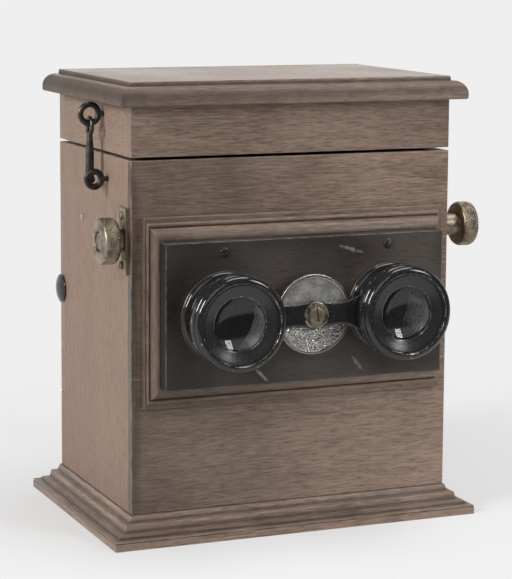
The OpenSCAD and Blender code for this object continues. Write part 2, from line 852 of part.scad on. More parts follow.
// Knob on the right: a round-edged rim, a recess for its screw and a hub that runs to the plate
module knob(reach) {
  bore = shaft_d / 2 + fit_clear;
  crown = knob_d / 2;
  back = reach - knob_t;
  color("darkgoldenrod") translate([half_w, shaft_y, shaft_z]) rotate([0, 90, 0]) rotate_extrude()
    polygon([[bore, hub_start], [hub_d / 2, hub_start], [hub_d / 2, back], [crown - 2.8, back],
      [crown - 1.2, back + 0.35], [crown - 0.35, back + 0.9], [crown, back + 1.6], [crown, reach - 1.6],
      [crown - 0.35, reach - 0.8], [crown - 1.1, reach - 0.25], [knob_face_d / 2, reach],
      [recess_d / 2, reach], [recess_d / 2, reach - recess_t], [bore, reach - recess_t]]);
}

module knob_right() {
  knob(knob_reach + shaft_shift);
}

module knob_left() {
  mirror([1, 0, 0]) knob(knob_reach - shaft_shift);
}

module knob_screws() {
  color("silver") for (side = [0, 180])
    translate([shaft_shift, shaft_y, shaft_z]) rotate([0, 90, 0]) rotate([side, 0, 0])
      translate([0, 0, half_w + knob_reach - recess_t]) screw(knob_screw);
}

function eyepiece_profile() =
  let (tube_r = tube_d / 2, bore = tube_r - 2, open_r = aperture_d / 2)
  let (step = eye_reach - dish_t, round_t = ring_t / 2 + groove)
  concat([[bore, tube_back], [tube_r, tube_back], [tube_r, barrel_back]],
    oval([neck_r, barrel_back], barrel_r - neck_r, barrel_r - neck_r, 0, 90, 6),
    [[neck_r, bead_mid - bead_half - groove]],
    oval([rim_r - bead_r, bead_mid], bead_r, bead_half, -80, 80, 12),
    [[rim_r - bead_r, ring_back], [ring_edge, ring_back]],
    oval([ring_edge - ring_round, eye_reach - round_t], ring_round, round_t, 0, 90, 8),
    [[dish_r + 0.3, eye_reach - groove], [dish_r, step + 0.7], [dish_r - 1, step + 0.5],
     [open_r + 0.5, step + 0.1], [open_r, step], [open_r, lip_back], [seat_r, lip_back],
     [seat_r, lip_back - seat_l], [bore, lip_back - seat_l]]);

module eyepiece_left() {
  color("#1c1a18") turned(-lens_x, eyepiece_profile());
}

module eyepiece_right() {
  color("#1c1a18") turned(lens_x, eyepiece_profile());
}

// Lens: two bulging faces round a straight edge
function lens_profile() =
  let (n = 8, back = lens_front - lens_edge)
  concat([for (i = [0:n]) let (r = lens_r * i / n) [r, lens_front + lens_rise(r)]],
    [for (i = [n:-1:0]) let (r = lens_r * i / n) [r, back - lens_rise(r)]]);

module lens_left() {
  color("lightcyan", 0.5) turned(-lens_x, lens_profile());
}

module lens_right() {
  color("lightcyan", 0.5) turned(lens_x, lens_profile());
}

module lens_rings() {
  inner = lens_r - lens_ring_w;
  front = lens_front - lens_edge - lens_rise(inner) - fit_clear;
  color("#1c1a18") for (x = [-lens_x, lens_x])
    turned(x, [[inner, front], [lens_r, front], [lens_r, front - lens_ring_t], [inner, front - lens_ring_t]]);
}

// Half height of the bridge at distance x from its middle: a straight bar that flares to the barrels
function bar_half(x) =
  let (start = boss_d / 2 + flare_gap, end = lens_x - neck_r)
  bar_h / 2 + flare_h * pow(max(0, abs(x) - start) / (end - start), 2);

module bridge() {
  reach = lens_x - neck_r + bar_lap;
  n = 16;
  xs = [for (i = [-n:n]) reach * i / n];
  color("#1c1a18") difference() {
    union() {
      translate([0, panel_face - bar_off, lens_z]) rotate([90, 0, 0]) linear_extrude(height = bar_t)
        polygon(concat([for (x = xs) [x, bar_half(x)]], [for (x = xs) [-x, -bar_half(x)]]));
      lens_bore(0, boss_d, bar_off, boss_front);
    }
    for (x = [-lens_x, lens_x]) lens_bore(x, neck_d + 2 * fit_clear, 0, eye_reach);
    lens_bore(0, spindle_d + 2 * fit_clear, 0, eye_reach);
  }
}

module bridge_screw() {
  color("darkgoldenrod") translate([0, panel_face - boss_front, lens_z]) rotate([90, 0, 0]) rotate(80)
    screw(bridge_screw_size);
}

module bridge_spindle() {
  color("silver") difference() {
    lens_bore(0, spindle_d, -panel_t - spindle_tail, boss_front);
    translate([0, panel_face - boss_front, lens_z]) rotate([90, 0, 0]) screw(bridge_screw_size, fit_clear);
  }
}

// Wheel: a milled rim round a slightly sunk face, on the spindle
module focus_wheel() {
  bore = spindle_d / 2 + run_clear;
  r = wheel_d / 2;
  front = wheel_off + wheel_t;
  color("lightgray") turned(0, [[bore, wheel_off], [r - 0.3, wheel_off], [r, wheel_off + 0.3],
    [r, front - 0.3], [r - 0.3, front], [r - 1, front], [r - 1.3, front - 0.3], [bore, front - 0.3]]);
}

module door_frame() {
  edge_x = half_w - pass_clear;
  color("sienna") difference() {
    block([-edge_x, door_in, door_z], [edge_x, door_back, door_z + door_h]);
    block([ledge_w - glass_w / 2, door_in - cut, lens_z - glass_h / 2 + ledge_w],
      [glass_w / 2 - ledge_w, door_back + cut, lens_z + glass_h / 2 - ledge_w]);
    block([-glass_w / 2 - slide_clear, door_in - cut, lens_z - glass_h / 2 - slide_clear],
      [glass_w / 2 + slide_clear, door_in + bead_t + glass_t, lens_z + glass_h / 2 + slide_clear]);
    at_door_hinges() leaf_screws(fit_clear);
    button_stem_shape(fit_clear);
  }
}

module ground_glass() {
  color("whitesmoke", 0.8)
    block([-glass_w / 2, door_in + bead_t, lens_z - glass_h / 2],
      [glass_w / 2, door_in + bead_t + glass_t, lens_z + glass_h / 2]);
}

// Four beads that hold the glass in the door's ledge
module glass_beads() {
  color("peru") for (s = [-1, 1]) {
    translate([-glass_w / 2, door_in, lens_z + s * (glass_h - bead_w) / 2 - bead_w / 2])
      cube([glass_w, bead_t, bead_w]);
    translate([s * (glass_w - bead_w) / 2 - bead_w / 2, door_in, lens_z - glass_h / 2 + bead_w + fit_clear])
      cube([bead_w, bead_t, glass_h - 2 * bead_w - 2 * fit_clear]);
  }
}

module button_stem_shape(grow = 0) {
  translate([-half_w - pass_clear, door_in + door_t / 2, door_mid]) rotate([0, 90, 0])
    cylinder(h = button_stem + grow, d = button_stem_d + 2 * grow);
}

module door_button() {
  r = button_d / 2;
  ball = (r * r + button_t * button_t) / (2 * button_t);
  n = 8;
  color("#181614") {
    translate([-half_w - pass_clear, door_in + door_t / 2, door_mid]) rotate([0, -90, 0]) rotate_extrude()
      polygon(concat([[0, 0], [r - 0.3, 0]],
        [for (i = [n:-1:0]) let (x = r * i / n) [x, 0.3 + sqrt(ball * ball - x * x) - ball + button_t]]));
    button_stem_shape();
  }
}

module door_hinge_door_leaves() {
  color("goldenrod") at_door_hinges() hinge_leaf(false);
}

module door_hinge_screws() {
  color("goldenrod") at_door_hinges() leaf_screws();
}

plinth_mouldings();
bottom_board();
left_side();
right_side();
front_lower_board();
front_upper_board();
back_lower_board();
back_upper_board();
septum();
slide_gate();
slide_guides();
slide_rest();
carriage_runners();
bearing_plates();
plate_screws();
lid_hinge_case_leaves();
door_hinge_case_leaves();
hinge_pins();
case_hinge_screws();
case_eye();
gate_pins();
lid_top();
lid_front();
lid_back();
lid_left();
lid_right();
lid_hinge_lid_leaves();
lid_hinge_screws();
lid_eye();
hook();
frame_mouldings();
lens_panel();
panel_screws();
carriage_sleeve();
racks();
eyepiece_mount_left();
eyepiece_mount_right();
wheel_post();
focus_shaft();
pinions();
knob_left();
knob_right();
knob_screws();
eyepiece_left();
eyepiece_right();
lens_left();
lens_right();
lens_rings();
bridge();
bridge_screw();
bridge_spindle();
focus_wheel();
door_frame();
ground_glass();
glass_beads();
door_button();
door_hinge_door_leaves();
door_hinge_screws();
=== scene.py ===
"""Looks of a wooden table stereoscope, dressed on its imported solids.

The case keeps its solid boards and gets old varnished wood. The turned, moulded and bent pieces are rebuilt
as fine surfaces: mouldings, eyepieces, lenses, bridge, milled wheel, knurled knobs, hook and eyes.
Lengths are millimetres in the frame of the solids, unless a docstring says otherwise.
"""

import json
import logging
import math
from dataclasses import dataclass
from enum import Enum
from typing import Callable, ClassVar, NamedTuple, Optional, Sequence, Union

import bmesh
import bpy
import numpy as np
from mathutils import Matrix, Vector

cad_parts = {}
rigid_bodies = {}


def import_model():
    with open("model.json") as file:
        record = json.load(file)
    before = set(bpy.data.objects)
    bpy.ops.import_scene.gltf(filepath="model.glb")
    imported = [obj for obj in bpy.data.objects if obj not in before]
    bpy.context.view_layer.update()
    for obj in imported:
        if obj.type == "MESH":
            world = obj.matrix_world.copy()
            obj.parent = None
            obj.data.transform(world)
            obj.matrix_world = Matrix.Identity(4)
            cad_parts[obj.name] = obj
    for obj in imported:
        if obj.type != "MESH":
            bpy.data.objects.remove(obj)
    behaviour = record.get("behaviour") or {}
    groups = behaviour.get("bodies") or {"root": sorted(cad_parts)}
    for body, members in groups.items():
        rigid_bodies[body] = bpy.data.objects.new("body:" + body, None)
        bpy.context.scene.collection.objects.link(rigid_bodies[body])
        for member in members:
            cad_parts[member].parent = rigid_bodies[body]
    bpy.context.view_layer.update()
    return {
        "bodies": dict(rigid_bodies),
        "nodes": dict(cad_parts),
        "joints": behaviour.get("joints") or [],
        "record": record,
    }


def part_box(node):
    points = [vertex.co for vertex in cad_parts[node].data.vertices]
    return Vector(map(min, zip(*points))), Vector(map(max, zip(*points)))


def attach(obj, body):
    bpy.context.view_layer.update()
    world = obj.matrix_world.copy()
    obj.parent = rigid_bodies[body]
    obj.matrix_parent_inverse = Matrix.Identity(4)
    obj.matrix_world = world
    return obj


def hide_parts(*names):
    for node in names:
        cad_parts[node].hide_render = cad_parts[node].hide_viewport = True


LOG = logging.getLogger("stereoscope")
MM = 0.001
QUARTER = np.pi / 2
TURN = 2 * np.pi
OPEN_ENDS = (False, True)
Array = np.ndarray
Colour = tuple[float, float, float]
Point = Sequence[float]
Socket = bpy.types.NodeSocket
Value = Union[Socket, float]


# Shader graphs


class Graph:
    """One material's nodes, added and joined by short calls."""

    def __init__(self, name: str) -> None:
        """Starts a material with a plain principled shader.

        Args:
            name: name of the material.
        """
        self.material = bpy.data.materials.new(name)
        self.material.use_nodes = True
        self.tree = self.material.node_tree
        self.shader = self.tree.nodes["Principled BSDF"]

    @classmethod
    def of_world(cls, world: bpy.types.World) -> "Graph":
        """Starts on a world's own nodes.

        Args:
            world: the world.

        Returns:
            The graph, which has a tree and no material.
        """
        graph = cls.__new__(cls)
        graph.tree = world.node_tree
        return graph

    def add(self, kind: str, inputs: Optional[dict] = None, **settings: object) -> bpy.types.Node:
        """Adds a node.

        Args:
            kind: node type without its ShaderNode prefix.
            inputs: socket name or number to a value or another node's socket.
            settings: the node's own properties.

        Returns:
            The new node.
        """
        node = self.tree.nodes.new("ShaderNode" + kind)
        for key, setting in settings.items():
            setattr(node, key, setting)
        for key, item in (inputs or {}).items():
            self.feed(node.inputs[key], item)
        return node

    def feed(self, target: Socket, item: object) -> None:
        """Links a socket to the target, or sets the target's own value.

        Args:
            target: the socket that is fed.
            item: another node's socket, a number, a vector, or a colour, which gets full alpha.
        """
        if isinstance(item, bpy.types.NodeSocket):
            self.tree.links.new(item, target)
        elif target.type == "RGBA":
            target.default_value = (*item, 1.0)
        else:
            target.default_value = item

    def place(self) -> Socket:
        """Object coordinates, which are metres in the part's frame."""
        return self.add("TexCoord").outputs["Object"]

    def own(self, name: str, output: str = "Fac") -> Socket:
        """A vertex attribute of the piece."""
        return self.add("Attribute", attribute_name=name).outputs[output]

    def axis(self, vector: Socket, name: str) -> Socket:
        """One coordinate of a vector."""
        return self.add("SeparateXYZ", {0: vector}).outputs[name]

    def facing(self, name: str) -> Socket:
        """One coordinate of the face's normal."""
        return self.axis(self.add("NewGeometry").outputs["True Normal"], name)

    def scaled(self, vector: Socket, scale: Point, shift: Point = (0, 0, 0)) -> Socket:
        """The vector scaled on each axis, then shifted."""
        return self.add("Mapping", {"Vector": vector, "Scale": scale, "Location": shift}).outputs[0]

    def noise(self, vector: Socket, scale: float, detail: float = 3.0, rough: float = 0.55,
              warp: float = 0.0) -> Socket:
        """Fractal noise from 0 to 1."""
        return self.add("TexNoise", {"Vector": vector, "Scale": scale, "Detail": detail, "Roughness": rough,
                                     "Distortion": warp}).outputs["Fac"]

    def fold(self, kind: str, first: Value, *others: Value) -> Socket:
        """One arithmetic operation carried through numbers from the left.

        Args:
            kind: the operation, in Blender's word.
            first: the number to start with.
            others: the numbers that follow.

        Returns:
            The result.
        """
        for other in others:
            first = self.add("Math", {0: first, 1: other}, operation=kind).outputs[0]
        return first

    def plus(self, *values: Value) -> Socket:
        """Total of numbers."""
        return self.fold("ADD", *values)

    def less(self, whole: Value, part: Value) -> Socket:
        """The first number less the second."""
        return self.fold("SUBTRACT", whole, part)

    def times(self, *values: Value) -> Socket:
        """Product of numbers."""
        return self.fold("MULTIPLY", *values)

    def most(self, *values: Value) -> Socket:
        """Largest of numbers."""
        return self.fold("MAXIMUM", *values)

    def fade(self, value: Value, low: float, high: float, to_low: float = 0.0,
             to_high: float = 1.0) -> Socket:
        """Smooth step of a value from low to high, given out between two other limits."""
        return self.add("MapRange", {"Value": value, "From Min": low, "From Max": high, "To Min": to_low,
                                     "To Max": to_high}, interpolation_type="SMOOTHSTEP").outputs[0]

    def blend(self, share: Value, first: object, second: object) -> Socket:
        """Mix of two colours."""
        return self.add("Mix", {0: share, 6: first, 7: second}, data_type="RGBA").outputs[2]

    def bumps(self, height: Socket, depth: float, under: Optional[Socket] = None) -> Socket:
        """Normal bent by a height.

        Args:
            height: the height, as a share of the depth.
            depth: the depth.
            under: another bent normal to start from.

        Returns:
            The bent normal.
        """
        node = self.add("Bump", {"Height": height, "Distance": depth * MM, "Strength": 1.0})
        if under is not None:
            self.feed(node.inputs["Normal"], under)
        return node.outputs[0]

    def edges(self, radius: float, gain: float) -> tuple[Socket, Socket]:
        """Worn edges: a softened normal, and a mask where it leaves the true one.

        Args:
            radius: width of the softened edge.
            gain: how sharply the mask rises.

        Returns:
            The softened normal and the mask.
        """
        soft = self.add("Bevel", {"Radius": radius * MM}, samples=6).outputs[0]
        true = self.add("NewGeometry").outputs["Normal"]
        turn = self.add("VectorMath", {0: soft, 1: true}, operation="DOT_PRODUCT").outputs["Value"]
        return soft, self.fade(self.less(1.0, turn), 0.02, 1.0 / gain)

    def dress(self, **sockets: object) -> bpy.types.Material:
        """Sets the shader's sockets.

        Args:
            sockets: socket name, with _ for a space, to a value or another node's socket.

        Returns:
            The material.
        """
        for key, item in sockets.items():
            self.feed(self.shader.inputs[key.replace("_", " ")], item)
        return self.material


def shaded(colour: Colour, share: float) -> Colour:
    """The colour times a share."""
    return tuple(c * share for c in colour)


# Finishes


class Run(Enum):
    """Which way the grain of a board runs. PIECE reads the piece's own run attribute."""

    ACROSS = "across"
    DEEP = "deep"
    UPRIGHT = "upright"
    PIECE = "piece"

    @property
    def along(self) -> int:
        """Number of the axis that the grain runs along."""
        return {Run.DEEP: 1, Run.UPRIGHT: 2}.get(self, 0)


class Layer(NamedTuple):
    """One noise of the grain: waves in a metre along and across it, its weight and the noise's settings."""

    along: float
    across: float
    weight: float = 0.0
    detail: float = 3.0
    rough: float = 0.6
    warp: float = 0.0


class Rub(NamedTuple):
    """One rubbed mark on the front: its place, its half length and its slope in degrees."""

    x: float
    z: float
    half: float
    slope: float


@dataclass(frozen=True)
class Wood:
    """Old varnished wood: figure, streaks and fibres along its grain, pores, blotches and worn edges, with
    painted
    shade in its colour: a painted shade film on faces that don't look up, deeper to the left and streaked at
    the left corner, painted shade spots where the piece marks them, and, on a piece with rubs, painted shade
    on faces that look left.

    Gloss is the roughness of the varnish and shine its specular level. Faces that don't look up are
    rougher by dull. Spread is the range of tone from dark to pale, grain the share of the grain against
    the blotches, edge the strength of the wear; a further field sets the strength of the painted shade film.
    Seed moves the grain.
    """

    name: str
    dark: Colour
    pale: Colour
    worn: Colour
    gloss: float = 0.36
    shine: float = 0.5
    dull: float = 0.0
    spread: float = 0.12
    grain: float = 1.0
    edge: float = 0.7
    flank_shade: float = 0.0
    rubs: tuple[Rub, ...] = ()
    seed: float = 0.0

    FIGURE: ClassVar[Layer] = Layer(9, 80, 0.15, rough=0.55, warp=0.9)
    STREAKS: ClassVar[Layer] = Layer(60, 520, 0.13, warp=0.5)
    FIBRE: ClassVar[Layer] = Layer(150, 2100, 0.5, warp=0.3)
    PORES: ClassVar[Layer] = Layer(260, 2400, detail=1.0, rough=0.4)
    # Limits of the normal's Z and X where a face begins to look up or left, and of X where the painted shade
    # film fades.
    LOOKS_UP: ClassVar[tuple[float, float]] = (0.75, 0.97)
    LOOKS_LEFT: ClassVar[tuple[float, float]] = (-0.9, -0.5)
    LEFT_CORNER: ClassVar[tuple[float, float]] = (-64.5 * MM, -52.5 * MM)
    CASE_WIDTH: ClassVar[tuple[float, float]] = (-66.0 * MM, 65.0 * MM)
    RUB_HALF_WIDE: ClassVar[float] = 0.9

    def material(self, run: Run) -> bpy.types.Material:
        """Builds the wood with its grain along one way of the board.

        Args:
            run: the way of the grain.

        Returns:
            The material.
        """
        g = Graph(f"{self.name}_{run.value}")
        where = g.own("run", "Vector") if run is Run.PIECE else g.place()
        layers = (self.FIGURE, self.STREAKS, self.FIBRE)
        figure, streaks, fibre = (self.layer(g, where, run, layer) for layer in layers)
        pores = g.fade(self.layer(g, where, run, self.PORES), 0.57, 0.7)
        blotch = g.noise(where, 22.0, 2.0, 0.5)
        weights = [self.grain * layer.weight for layer in layers]
        weights.append(1.0 - sum(weights))
        tone = g.plus(*map(g.times, (figure, streaks, fibre, blotch), weights))
        colour = g.blend(g.fade(tone, 0.5 - self.spread, 0.5 + self.spread), self.dark, self.pale)
        colour = g.blend(g.times(pores, 0.45), colour, shaded(self.dark, 0.35))
        # Painted shade: a dark film over faces that don't look up, deeper towards the left.
        if self.flank_shade:
            colour = g.blend(self.dust_and_shade_film(g), colour, shaded(self.dark, 0.28))
        soft, edge = g.edges(radius=0.7, gain=7.0)
        patchy = g.fade(g.noise(where, 160.0), 0.35, 0.62)
        # Painted shade spots that the piece marks, which also keep the wear off.
        soil = g.own("soil")
        colour = g.blend(g.times(edge, patchy, g.less(1.0, soil), self.edge), colour, self.worn)
        shade_spots = g.times(soil, g.fade(patchy, 0.0, 1.0, 0.95, 0.8))
        colour = g.blend(shade_spots, colour, shaded(self.dark, 0.16))
        rough = g.fade(blotch, 0.3, 0.7, self.gloss - 0.06, self.gloss + 0.08)
        if self.dull:
            rough = g.plus(rough, g.fade(g.facing("Z"), *self.LOOKS_UP, self.dull, 0.0))
        if self.rubs:
            rubbed = self.rubbed(g, where)
            colour = g.blend(rubbed, colour, self.worn)
            shade = g.times(g.fade(g.facing("X"), *self.LOOKS_LEFT, 1.0, 0.0), g.less(1.0, edge))
            colour = g.blend(shade, colour, shaded(self.dark, 0.3))
            rough = g.plus(rough, g.times(g.plus(rubbed, shade), 0.3))
        normal = g.bumps(g.less(fibre, g.times(pores, 0.6)), 0.05 * self.grain, soft)
        return g.dress(Base_Color=colour, Roughness=rough, Normal=normal, Specular_IOR_Level=self.shine)

    def layer(self, g: Graph, where: Socket, run: Run, layer: Layer) -> Socket:
        """One noise of the grain, stretched along the board.

        Args:
            g: the material's graph.
            where: the place in metres.
            run: the way of the grain.
            layer: the noise's scales and settings.

        Returns:
            The noise, from 0 to 1.
        """
        scale = [layer.across] * 3
        scale[run.along] = layer.along
        place = g.scaled(where, scale, (self.seed, self.seed * 0.7, self.seed * 1.3))
        return g.noise(place, 1.0, layer.detail, layer.rough, layer.warp)

    def dust_and_shade_film(self, g: Graph) -> Socket:
        """Painted shade film off the upward faces: it thickens to the left, and more in streaks at the left
        corner.

        Args:
            g: the material's graph.

        Returns:
            The mask of the painted shade film, up to its strength.
        """
        place = g.place()
        left = g.axis(place, "X")
        # Streaks of painted shade at the left corner.
        shade_streaks = g.noise(g.scaled(place, (700, 700, 45)), 1.0, 3.0, 0.6)
        corner = g.times(g.fade(left, *self.LEFT_CORNER, 1.0, 0.0), g.fade(shade_streaks, 0.3, 0.65, 0.75, 1.0))
        dust_and_shade_film = g.most(corner, g.fade(left, *self.CASE_WIDTH, 0.64, 0.0))
        return g.times(dust_and_shade_film, g.fade(g.facing("Z"), *self.LOOKS_UP, self.flank_shade, 0.0))

    def rubbed(self, g: Graph, where: Socket) -> Socket:
        """Mask of the rubs: each is an oval (u / half)^2 + (v / 0.9)^2 whose limit is broken up by noise.

        Args:
            g: the material's graph.
            where: the place in metres.

        Returns:
            The mask, from 0 to 0.8.
        """
        x, z = g.axis(where, "X"), g.axis(where, "Z")
        ragged = g.times(g.noise(where, 620.0, 4.0, 0.7), 3.2)
        nearest: Value = 9.0
        for rub in self.rubs:
            cos, sin = math.cos(math.radians(rub.slope)), math.sin(math.radians(rub.slope))
            dx, dz = g.less(x, rub.x * MM), g.less(z, rub.z * MM)
            u = g.fold("DIVIDE", g.plus(g.times(dx, cos), g.times(dz, sin)), rub.half * MM)
            v = g.fold("DIVIDE", g.less(g.times(dz, cos), g.times(dx, sin)), self.RUB_HALF_WIDE * MM)
            nearest = g.fold("MINIMUM", nearest, g.plus(g.times(u, u), g.times(v, v)))
        return g.fade(g.plus(nearest, ragged), 1.5, 2.6, 0.8, 0.0)


@dataclass(frozen=True)
class Metal:
    """Bare metal with tarnish in patches, fine marks and brighter worn edges, and on a pebbled piece painted
    shade in the tarnish colour where the piece marks it.

    Gloss is its roughness, amount the share of the tarnish, grain the depth of the marks and pebble the
    size of the pebbles on a piece that has them.
    """

    name: str
    bright: Colour
    tarnish_and_shade: Colour
    gloss: float = 0.3
    amount: float = 0.5
    grain: float = 0.03
    pebble: float = 0.0

    def material(self) -> bpy.types.Material:
        """Builds the metal, pebbled and darkened by painted shade where the piece marks it so.

        Returns:
            The material.
        """
        g = Graph(self.name)
        where = g.place()
        soft, edge = g.edges(radius=0.3, gain=5.0)
        patch = g.noise(where, 240.0, 4.0, 0.6)
        cover = g.times(g.fade(patch, 0.38, 0.66), self.amount, g.less(1.0, g.times(edge, 0.7)))
        colour = g.blend(cover, self.bright, self.tarnish_and_shade)
        rough = g.fade(patch, 0.3, 0.7, self.gloss - 0.05, self.gloss + 0.15)
        normal = g.bumps(g.noise(where, 2600.0, 2.0), self.grain, soft)
        if self.pebble:
            inputs = {"Vector": where, "Scale": 1.0 / (self.pebble * MM)}
            away = g.add("TexVoronoi", inputs, feature="SMOOTH_F1").outputs["Distance"]
            height = g.times(g.less(1.0, away), g.own("pebbled"))
            normal = g.bumps(height, 0.6 * self.pebble, normal)
            # Painted shade: the marked share darkens the metal to its tarnish colour.
            colour = g.blend(g.own("dim"), colour, self.tarnish_and_shade)
        return g.dress(Base_Color=colour, Roughness=rough, Metallic=1.0, Normal=normal)


@dataclass(frozen=True)
class Lacquer:
    """Black lacquer on brass, rubbed through along the crests that the piece marks as worn."""

    name: str
    black: Colour
    brass: Colour
    gloss: float = 0.08

    def material(self) -> bpy.types.Material:
        """Builds the lacquer, dull where the piece marks it as matt.

        Returns:
            The material.
        """
        g = Graph(self.name)
        where = g.place()
        patch = g.noise(where, 420.0, 5.0, 0.68)
        bare = g.fade(g.plus(g.times(g.own("worn"), 0.75), patch), 0.98, 1.14)
        dust = g.noise(where, 900.0, 3.0, 0.7)
        dust_and_shade_film = g.blend(g.fade(dust, 0.45, 0.75, 0.0, 0.5), self.black, shaded(self.black, 3.2))
        matt = g.own("matt")
        rough = g.plus(g.fade(dust, 0.4, 0.75, self.gloss - 0.02, self.gloss + 0.1),
                       g.most(g.times(bare, 0.24), g.times(matt, 0.15)))
        colour = g.blend(matt, g.blend(bare, dust_and_shade_film, self.brass), shaded(self.black, 1.3))
        normal = g.bumps(g.noise(where, 500.0, 2.0), 0.008)
        return g.dress(Base_Color=colour, Roughness=rough, Metallic=bare, Normal=normal)


@dataclass(frozen=True)
class Glass:
    """Clear or ground glass with a little dust."""

    name: str
    tint: Colour
    rough: float
    through: float = 1.0

    def material(self) -> bpy.types.Material:
        """Builds the glass.

        Returns:
            The material.
        """
        g = Graph(self.name)
        dust = g.noise(g.place(), 350.0, 4.0, 0.7)
        rough = g.fade(dust, 0.4, 0.8, self.rough, self.rough + 0.06)
        return g.dress(Base_Color=self.tint, Roughness=rough, Transmission_Weight=self.through, IOR=1.52)


Finish = Union[Wood, Metal, Lacquer, Glass]


class Palette:
    """Every finish of the part, each made once when it is first asked for."""

    case = Wood("case_wood", (0.10, 0.067, 0.048), (0.26, 0.18, 0.132), (0.38, 0.29, 0.225))
    # The front, frame, top and dark panel woods carry a painted shade film on faces that don't look up.
    front = Wood("front_wood", (0.12, 0.081, 0.058), (0.32, 0.223, 0.165), (0.42, 0.33, 0.26), spread=0.14,
                 flank_shade=0.87)
    frame = Wood("frame_wood", (0.11, 0.074, 0.053), (0.27, 0.187, 0.138), (0.42, 0.33, 0.26), flank_shade=0.9)
    side = Wood("side_wood", (0.198, 0.136, 0.099), (0.256, 0.177, 0.132), (0.42, 0.33, 0.26), gloss=0.5,
                shine=0.15, seed=3.1)
    lid = Wood("lid_wood", (0.11, 0.074, 0.053), (0.25, 0.173, 0.128), (0.38, 0.29, 0.225), seed=5.7)
    top = Wood("top_wood", (0.15, 0.102, 0.074), (0.31, 0.22, 0.165), (0.42, 0.33, 0.26), gloss=0.27,
               dull=0.3, flank_shade=0.75, seed=5.7)
    plinth = Wood("plinth_wood", (0.12, 0.081, 0.058), (0.30, 0.208, 0.154), (0.50, 0.40, 0.31), edge=0.9,
                  seed=2.3)
    panel = Wood("dark_wood", (0.02, 0.0163, 0.0143), (0.09, 0.073, 0.063), (0.22, 0.18, 0.155), gloss=0.3,
                 spread=0.2, grain=0.3, edge=0.9, flank_shade=0.85,
                 rubs=(Rub(18.2, 108.4, 5.5, -17.0), Rub(20.8, 64.8, 4.4, -50.0),
                       Rub(-18.2, 63.0, 4.2, -45.0)))
    inside = Wood("blackened_wood", (0.012, 0.011, 0.0105), (0.03, 0.028, 0.026), (0.07, 0.06, 0.05),
                  gloss=0.7)
    brass = Metal("brass", (0.62, 0.50, 0.33), (0.22, 0.16, 0.10), gloss=0.34, amount=0.6)
    plate_brass = Metal("plate_brass", (0.40, 0.33, 0.235), (0.16, 0.122, 0.087), gloss=0.45, amount=0.7)
    knob_brass = Metal("knob_brass", (0.36, 0.304, 0.225), (0.12, 0.096, 0.072), gloss=0.4, amount=0.85,
                       grain=0.06)
    screw_brass = Metal("screw_brass", (0.30, 0.25, 0.185), (0.1, 0.08, 0.06), gloss=0.42, amount=0.7)
    steel = Metal("steel", (0.52, 0.51, 0.49), (0.25, 0.23, 0.21), gloss=0.35, amount=0.5)
    iron = Metal("iron", (0.10, 0.095, 0.09), (0.035, 0.03, 0.027), gloss=0.36, amount=0.8)
    nickel = Metal("nickel", (0.88, 0.86, 0.82), (0.2, 0.186, 0.168), gloss=0.22, amount=0.22, pebble=0.85)
    lacquer = Lacquer("black_lacquer", (0.011, 0.0105, 0.0105), (0.42, 0.36, 0.28))
    lens = Glass("lens_glass", (0.96, 0.98, 0.98), rough=0.0)
    frosted = Glass("frosted_glass", (0.86, 0.88, 0.87), rough=0.55, through=0.8)

    def __init__(self) -> None:
        """Starts with no material made."""
        self.made: dict[tuple[str, Optional[Run]], bpy.types.Material] = {}

    def of(self, finish: Finish, run: Optional[Run] = None) -> bpy.types.Material:
        """A finish's material.

        Args:
            finish: the finish.
            run: the way of the grain, for wood.

        Returns:
            The material, made now if it wasn't yet.
        """
        key = (finish.name, run)
        if key not in self.made:
            self.made[key] = finish.material(run) if run else finish.material()
        return self.made[key]


# Surfaces


def points(*coordinates: Union[float, Array]) -> Array:
    """Points from their coordinates, each an array or one number for all."""
    return np.stack(np.broadcast_arrays(*coordinates), -1)


def angles(steps: int) -> Array:
    """Even angles once round a circle, without the last."""
    return np.linspace(0, TURN, steps, endpoint=False)


def filleted(corners: Sequence[Point], closed: bool = True, steps: int = 6) -> Array:
    """Polyline with each corner rounded by a circle of its own radius.

    A corner with radius r is replaced by points on the quadratic curve between the two points that lie
    r / tan(inner angle / 2) away from it along its sides, which is close to the true arc.

    Args:
        corners: rows of x, y and radius.
        closed: whether the line joins its ends.
        steps: points on each rounded corner, less one.

    Returns:
        The points, in order.
    """
    rows = np.array(corners, float)
    p, r = rows[:, :2], rows[:, 2]
    before, after = np.roll(p, 1, 0) - p, np.roll(p, -1, 0) - p
    lb, la = np.linalg.norm(before, axis=1), np.linalg.norm(after, axis=1)
    ub, ua = before / lb[:, None], after / la[:, None]
    inner = np.arccos(np.clip((ub * ua).sum(1), -1, 1))
    cut = np.minimum(r / np.maximum(np.tan(inner / 2), 1e-6), 0.49 * np.minimum(lb, la))
    if not closed:
        cut[[0, -1]] = 0
    t = np.linspace(0, 1, steps + 1)[None, :, None]
    start, end = (p + ub * cut[:, None])[:, None], (p + ua * cut[:, None])[:, None]
    curve = (1 - t) ** 2 * start + 2 * t * (1 - t) * p[:, None] + t ** 2 * end
    flat = curve.reshape(-1, 2)
    keep = np.linalg.norm(np.diff(flat, axis=0, prepend=flat[:1] - 1), axis=1) > 1e-6
    return flat[keep]


def oval(centre: Point, wide: float, tall: float, first: float, last: float, steps: int = 14) -> Array:
    """Points of an oval: centre + (wide * cos a, tall * sin a) for a from first to last.

    Args:
        centre: its middle, as radius and height.
        wide: half its width.
        tall: half its height.
        first: first angle in degrees.
        last: last angle in degrees.
        steps: number of points.

    Returns:
        The points, in order.
    """
    a = np.radians(np.linspace(first, last, steps))
    return points(centre[0] + wide * np.cos(a), centre[1] + tall * np.sin(a))


